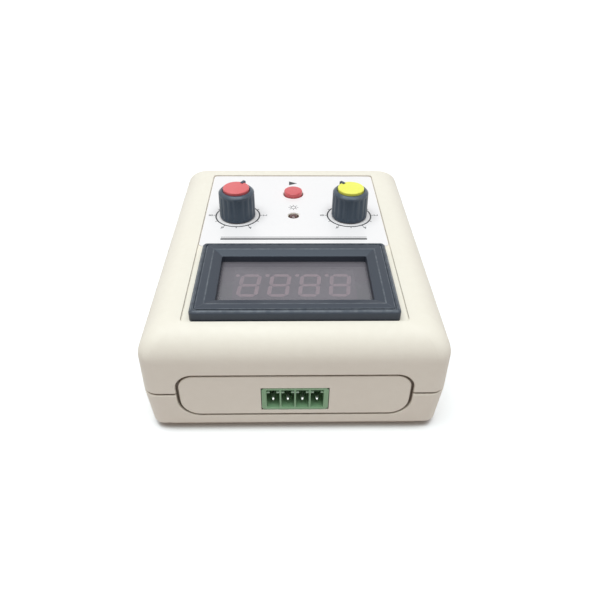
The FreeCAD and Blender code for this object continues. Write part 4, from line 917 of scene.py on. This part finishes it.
def flat_bar(name, x0, y0, x1, y1):
    """A printed bar between two corners."""
    return plate(name, [(x0, y0), (x1, y0), (x1, y1), (x0, y1)], INK_LOW, INK_HIGH)


def numeral(text, size):
    """A plain number as a thin mesh, its foot towards the dial's middle."""
    curve = bpy.data.curves.new("numeral_" + text, "FONT")
    curve.body = text
    curve.size = size * MM
    curve.align_x, curve.align_y = "CENTER", "BOTTOM_BASELINE"
    curve.extrude = (INK_HIGH - INK_LOW) / 2 * MM
    curve.resolution_u = 3
    host = bpy.data.objects.new(curve.name, curve)
    scene.collection.objects.link(host)
    mesh = evaluated(host)
    mesh.transform(Matrix.Translation((0, 0, (INK_LOW + INK_HIGH) / 2 * MM)))
    return mesh


def make_dial_print(name, ring):
    """Ring, tick marks and plain numbers round one knob."""
    label, step = name + "_dial_print", DIAL_SWEEP / DIAL_STEPS
    tick = flat_bar("tick", -TICK_HALF, TICK_INNER, TICK_HALF, TICK_OUTER)
    ticks = repeated(label + "_ticks", ring, tick, LABEL_INK, Count=DIAL_STEPS + 1,
                     First_Turn=-math.radians(DIAL_FIRST), Turn_Step=-math.radians(step))
    marks = [flat_ring(label + "_ring", RING_INNER, RING_OUTER), ticks]
    for i in range(0, DIAL_STEPS + 1, 2):
        number = moved(numeral(str(i), NUMBER_SIZE), y=NUMBER_FOOT)
        marks.append(moved(number, turn=-(DIAL_FIRST + i * step)))
    mesh = moved(gathered(label, marks), *knob_axis(name))
    return piece(label, mesh, "label_film", material=LABEL_INK)


def make_label_rules():
    """Plain rules at the meter end, a start triangle, a lamp mark and a dash behind each knob."""
    marks = [flat_bar("long_rule", -RULE_HALF, LONG_RULE[0], RULE_HALF, LONG_RULE[1]),
             flat_bar("fine_rule", -RULE_HALF, FINE_RULE[0], RULE_HALF, FINE_RULE[1]),
             plate("start_triangle", TRIANGLE, INK_LOW, INK_HIGH),
             moved(flat_ring("lamp_mark", LAMP_MARK_INNER, LAMP_MARK_OUTER, steps=40), y=LAMP_MARK_Y)]
    for i in range(LAMP_RAYS):
        ray = flat_bar("lamp_ray", -RAY_HALF, RAY_INNER, RAY_HALF, RAY_OUTER)
        marks.append(moved(moved(ray, turn=360 / LAMP_RAYS * i), y=LAMP_MARK_Y))
    for name in ("current", "voltage"):
        x = knob_axis(name)[0]
        marks.append(flat_bar("knob_dash", x - DASH_HALF, DASH_FROM, x + DASH_HALF, DASH_TO))
    return piece("label_print", gathered("label_print", marks), "label_film", material=LABEL_INK)


# Stage.

CAMERA_PLACE = Vector((-1.325, -132.61, 110.947))
CAMERA_PITCH, CAMERA_YAW, CAMERA_ROLL = 38.369, -1.427, 0.725
SENSOR_WIDTH, FOCAL_LENGTH = 36.0, 32.958
LAMP_PLACE = Vector((-50, -130, 1000))
LAMP_WIDTH, LAMP_LENGTH, LAMP_WATTS, LAMP_TINT = 1100, 650, 10.18, (0.889, 0.982, 1.0)
SKY_STRENGTH, SKY_TINT = 0.30, rgb(1.0, 0.935, 0.935)
WHITE, BLACK = rgb(1, 1, 1), rgb(0, 0, 0)
FLOOR_HALF, FLOOR_LEVEL = 3000, -0.02
# FLOOR_SHADE is the colour of the painted contact shadow under and beside the case.
FLOOR_PALE, FLOOR_SHADE = rgb(0.95, 0.95, 0.95), rgb(0.60, 0.58, 0.56)
FLOOR_BOUNCE = rgb(0.60, 0.54, 0.528)
# Reach and ranges of the painted contact shadow and of the glow's fade near the case.
CONTACT_REACH, SHADE_FROM, SHADE_TO, GLOW_FROM, GLOW_TO = 3.0, 0.45, 0.70, 0.55, 0.85
NEAR_REACH, FAR_REACH, NEAR_GLOW, FAR_GLOW = 60, 1200, 0.18, 1.0


def aim_camera():
    """The photo's view: from the terminal end, looking down over the meter."""
    pitch, yaw, roll = (math.radians(a) for a in (CAMERA_PITCH, CAMERA_YAW, CAMERA_ROLL))
    ahead = Vector((-math.sin(yaw), math.cos(yaw), 0))
    side = Vector((math.cos(yaw), math.sin(yaw), 0))
    rise = Vector((0, 0, 1))
    look = ahead * math.cos(pitch) - rise * math.sin(pitch)
    head = rise * math.cos(pitch) + ahead * math.sin(pitch)
    right = side * math.cos(roll) + head * math.sin(roll)
    top = head * math.cos(roll) - side * math.sin(roll)
    lens = bpy.data.cameras.new("camera")
    lens.sensor_width, lens.lens = SENSOR_WIDTH, FOCAL_LENGTH
    lens.clip_start = 5 * MM
    camera = bpy.data.objects.new("camera", lens)
    turn = Matrix((right, top, -look)).transposed().to_4x4()
    camera.matrix_world = Matrix.Translation(CAMERA_PLACE * MM) @ turn
    scene.collection.objects.link(camera)
    scene.camera = camera


def seen_directly(tree):
    """1 for what the camera sees straight, in a mirror or through glass; 0 for light bounced about."""
    path = add(tree, "ShaderNodeLightPath").outputs
    return maths(tree, "MAXIMUM", path["Is Camera Ray"],
                 maths(tree, "MAXIMUM", path["Is Glossy Ray"], path["Is Transmission Ray"]))


def light_room():
    """A white room that is dimmer as light than it looks, and one wide lamp overhead."""
    world = bpy.data.worlds.new("white_room")
    scene.world = world
    world.use_nodes = True
    tree = world.node_tree
    seen = seen_directly(tree)
    backdrop = tree.nodes["Background"]
    feed(tree, backdrop.inputs["Color"], mixed(tree, seen, SKY_TINT, WHITE))
    feed(tree, backdrop.inputs["Strength"], spread(tree, seen, 0.0, 1.0, SKY_STRENGTH, 1.0))
    lamp = bpy.data.lights.new("overhead_panel", "AREA")
    lamp.shape, lamp.size, lamp.size_y = "RECTANGLE", LAMP_WIDTH * MM, LAMP_LENGTH * MM
    lamp.energy, lamp.color = LAMP_WATTS, LAMP_TINT
    panel = bpy.data.objects.new("overhead_panel", lamp)
    panel.location = LAMP_PLACE * MM
    panel.rotation_euler = (-LAMP_PLACE).to_track_quat("-Z", "Y").to_euler()
    scene.collection.objects.link(panel)


def make_floor():
    """White floor that keeps the shadow and has a painted contact shadow where the case closes it in,
    passes on less light than it shows and glows in the open.
    """
    mesh = mesh_of("floor", [(sx * FLOOR_HALF, sy * FLOOR_HALF, FLOOR_LEVEL) for sx, sy in SQUARE],
                   [(0, 1, 2, 3)])
    floor = bpy.data.objects.new("floor", mesh)
    scene.collection.objects.link(floor)
    material = bpy.data.materials.new("white_floor")
    material.use_nodes = True
    tree = material.node_tree
    shader = tree.nodes["Principled BSDF"]
    seen = seen_directly(tree)
    here = add(tree, "ShaderNodeTexCoord").outputs["Object"]
    reach = add(tree, "ShaderNodeVectorMath", {"operation": "LENGTH"}, Vector=here).outputs["Value"]
    # Painted contact shadow: where ambient occlusion finds the floor closed in by the case, its colour
    # goes to FLOOR_SHADE.
    opened = openness(tree, CONTACT_REACH)
    clear = spread(tree, opened, SHADE_FROM, SHADE_TO, 0.0, 1.0)
    shown = mixed(tree, clear, FLOOR_SHADE, FLOOR_PALE)
    feed(tree, shader.inputs["Base Color"], mixed(tree, seen, FLOOR_BOUNCE, shown))
    # The glow fades out in the same closed-in places, which deepens the painted contact shadow.
    glow = maths(tree, "MULTIPLY",
                 spread(tree, reach, NEAR_REACH * MM, FAR_REACH * MM, NEAR_GLOW, FAR_GLOW),
                 spread(tree, opened, GLOW_FROM, GLOW_TO, 0.0, 1.0))
    feed(tree, shader.inputs["Emission Color"],
         mixed(tree, maths(tree, "MULTIPLY", seen, glow), BLACK, WHITE))
    shader.inputs["Emission Strength"].default_value = 1.0
    shader.inputs["Roughness"].default_value = 0.9
    shader.inputs["Specular IOR Level"].default_value = 0.0
    mesh.materials.append(material)


def dress_frame():
    """Give every frame node the finish of its slot."""
    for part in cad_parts.values():
        for place in part.material_slots:
            place.material = MATERIALS[place.material.name.split(".")[0]]


dress_frame()
ring, row, corners = ring_tree(), row_tree(), corner_tree()
make_meter_frame()
make_knob("current", DIAL_FIRST, ring)
make_knob("voltage", DIAL_FIRST + DIAL_SWEEP - VOLTAGE_SHORT_OF_LAST, ring)
make_start_key()
make_lamp()
make_header(row)
make_pins(row)
make_case_screws(corners)
make_jack()
make_dial_print("current", ring)
make_dial_print("voltage", ring)
make_label_rules()
aim_camera()
light_room()
make_floor()
scene.view_settings.view_transform = "Standard"
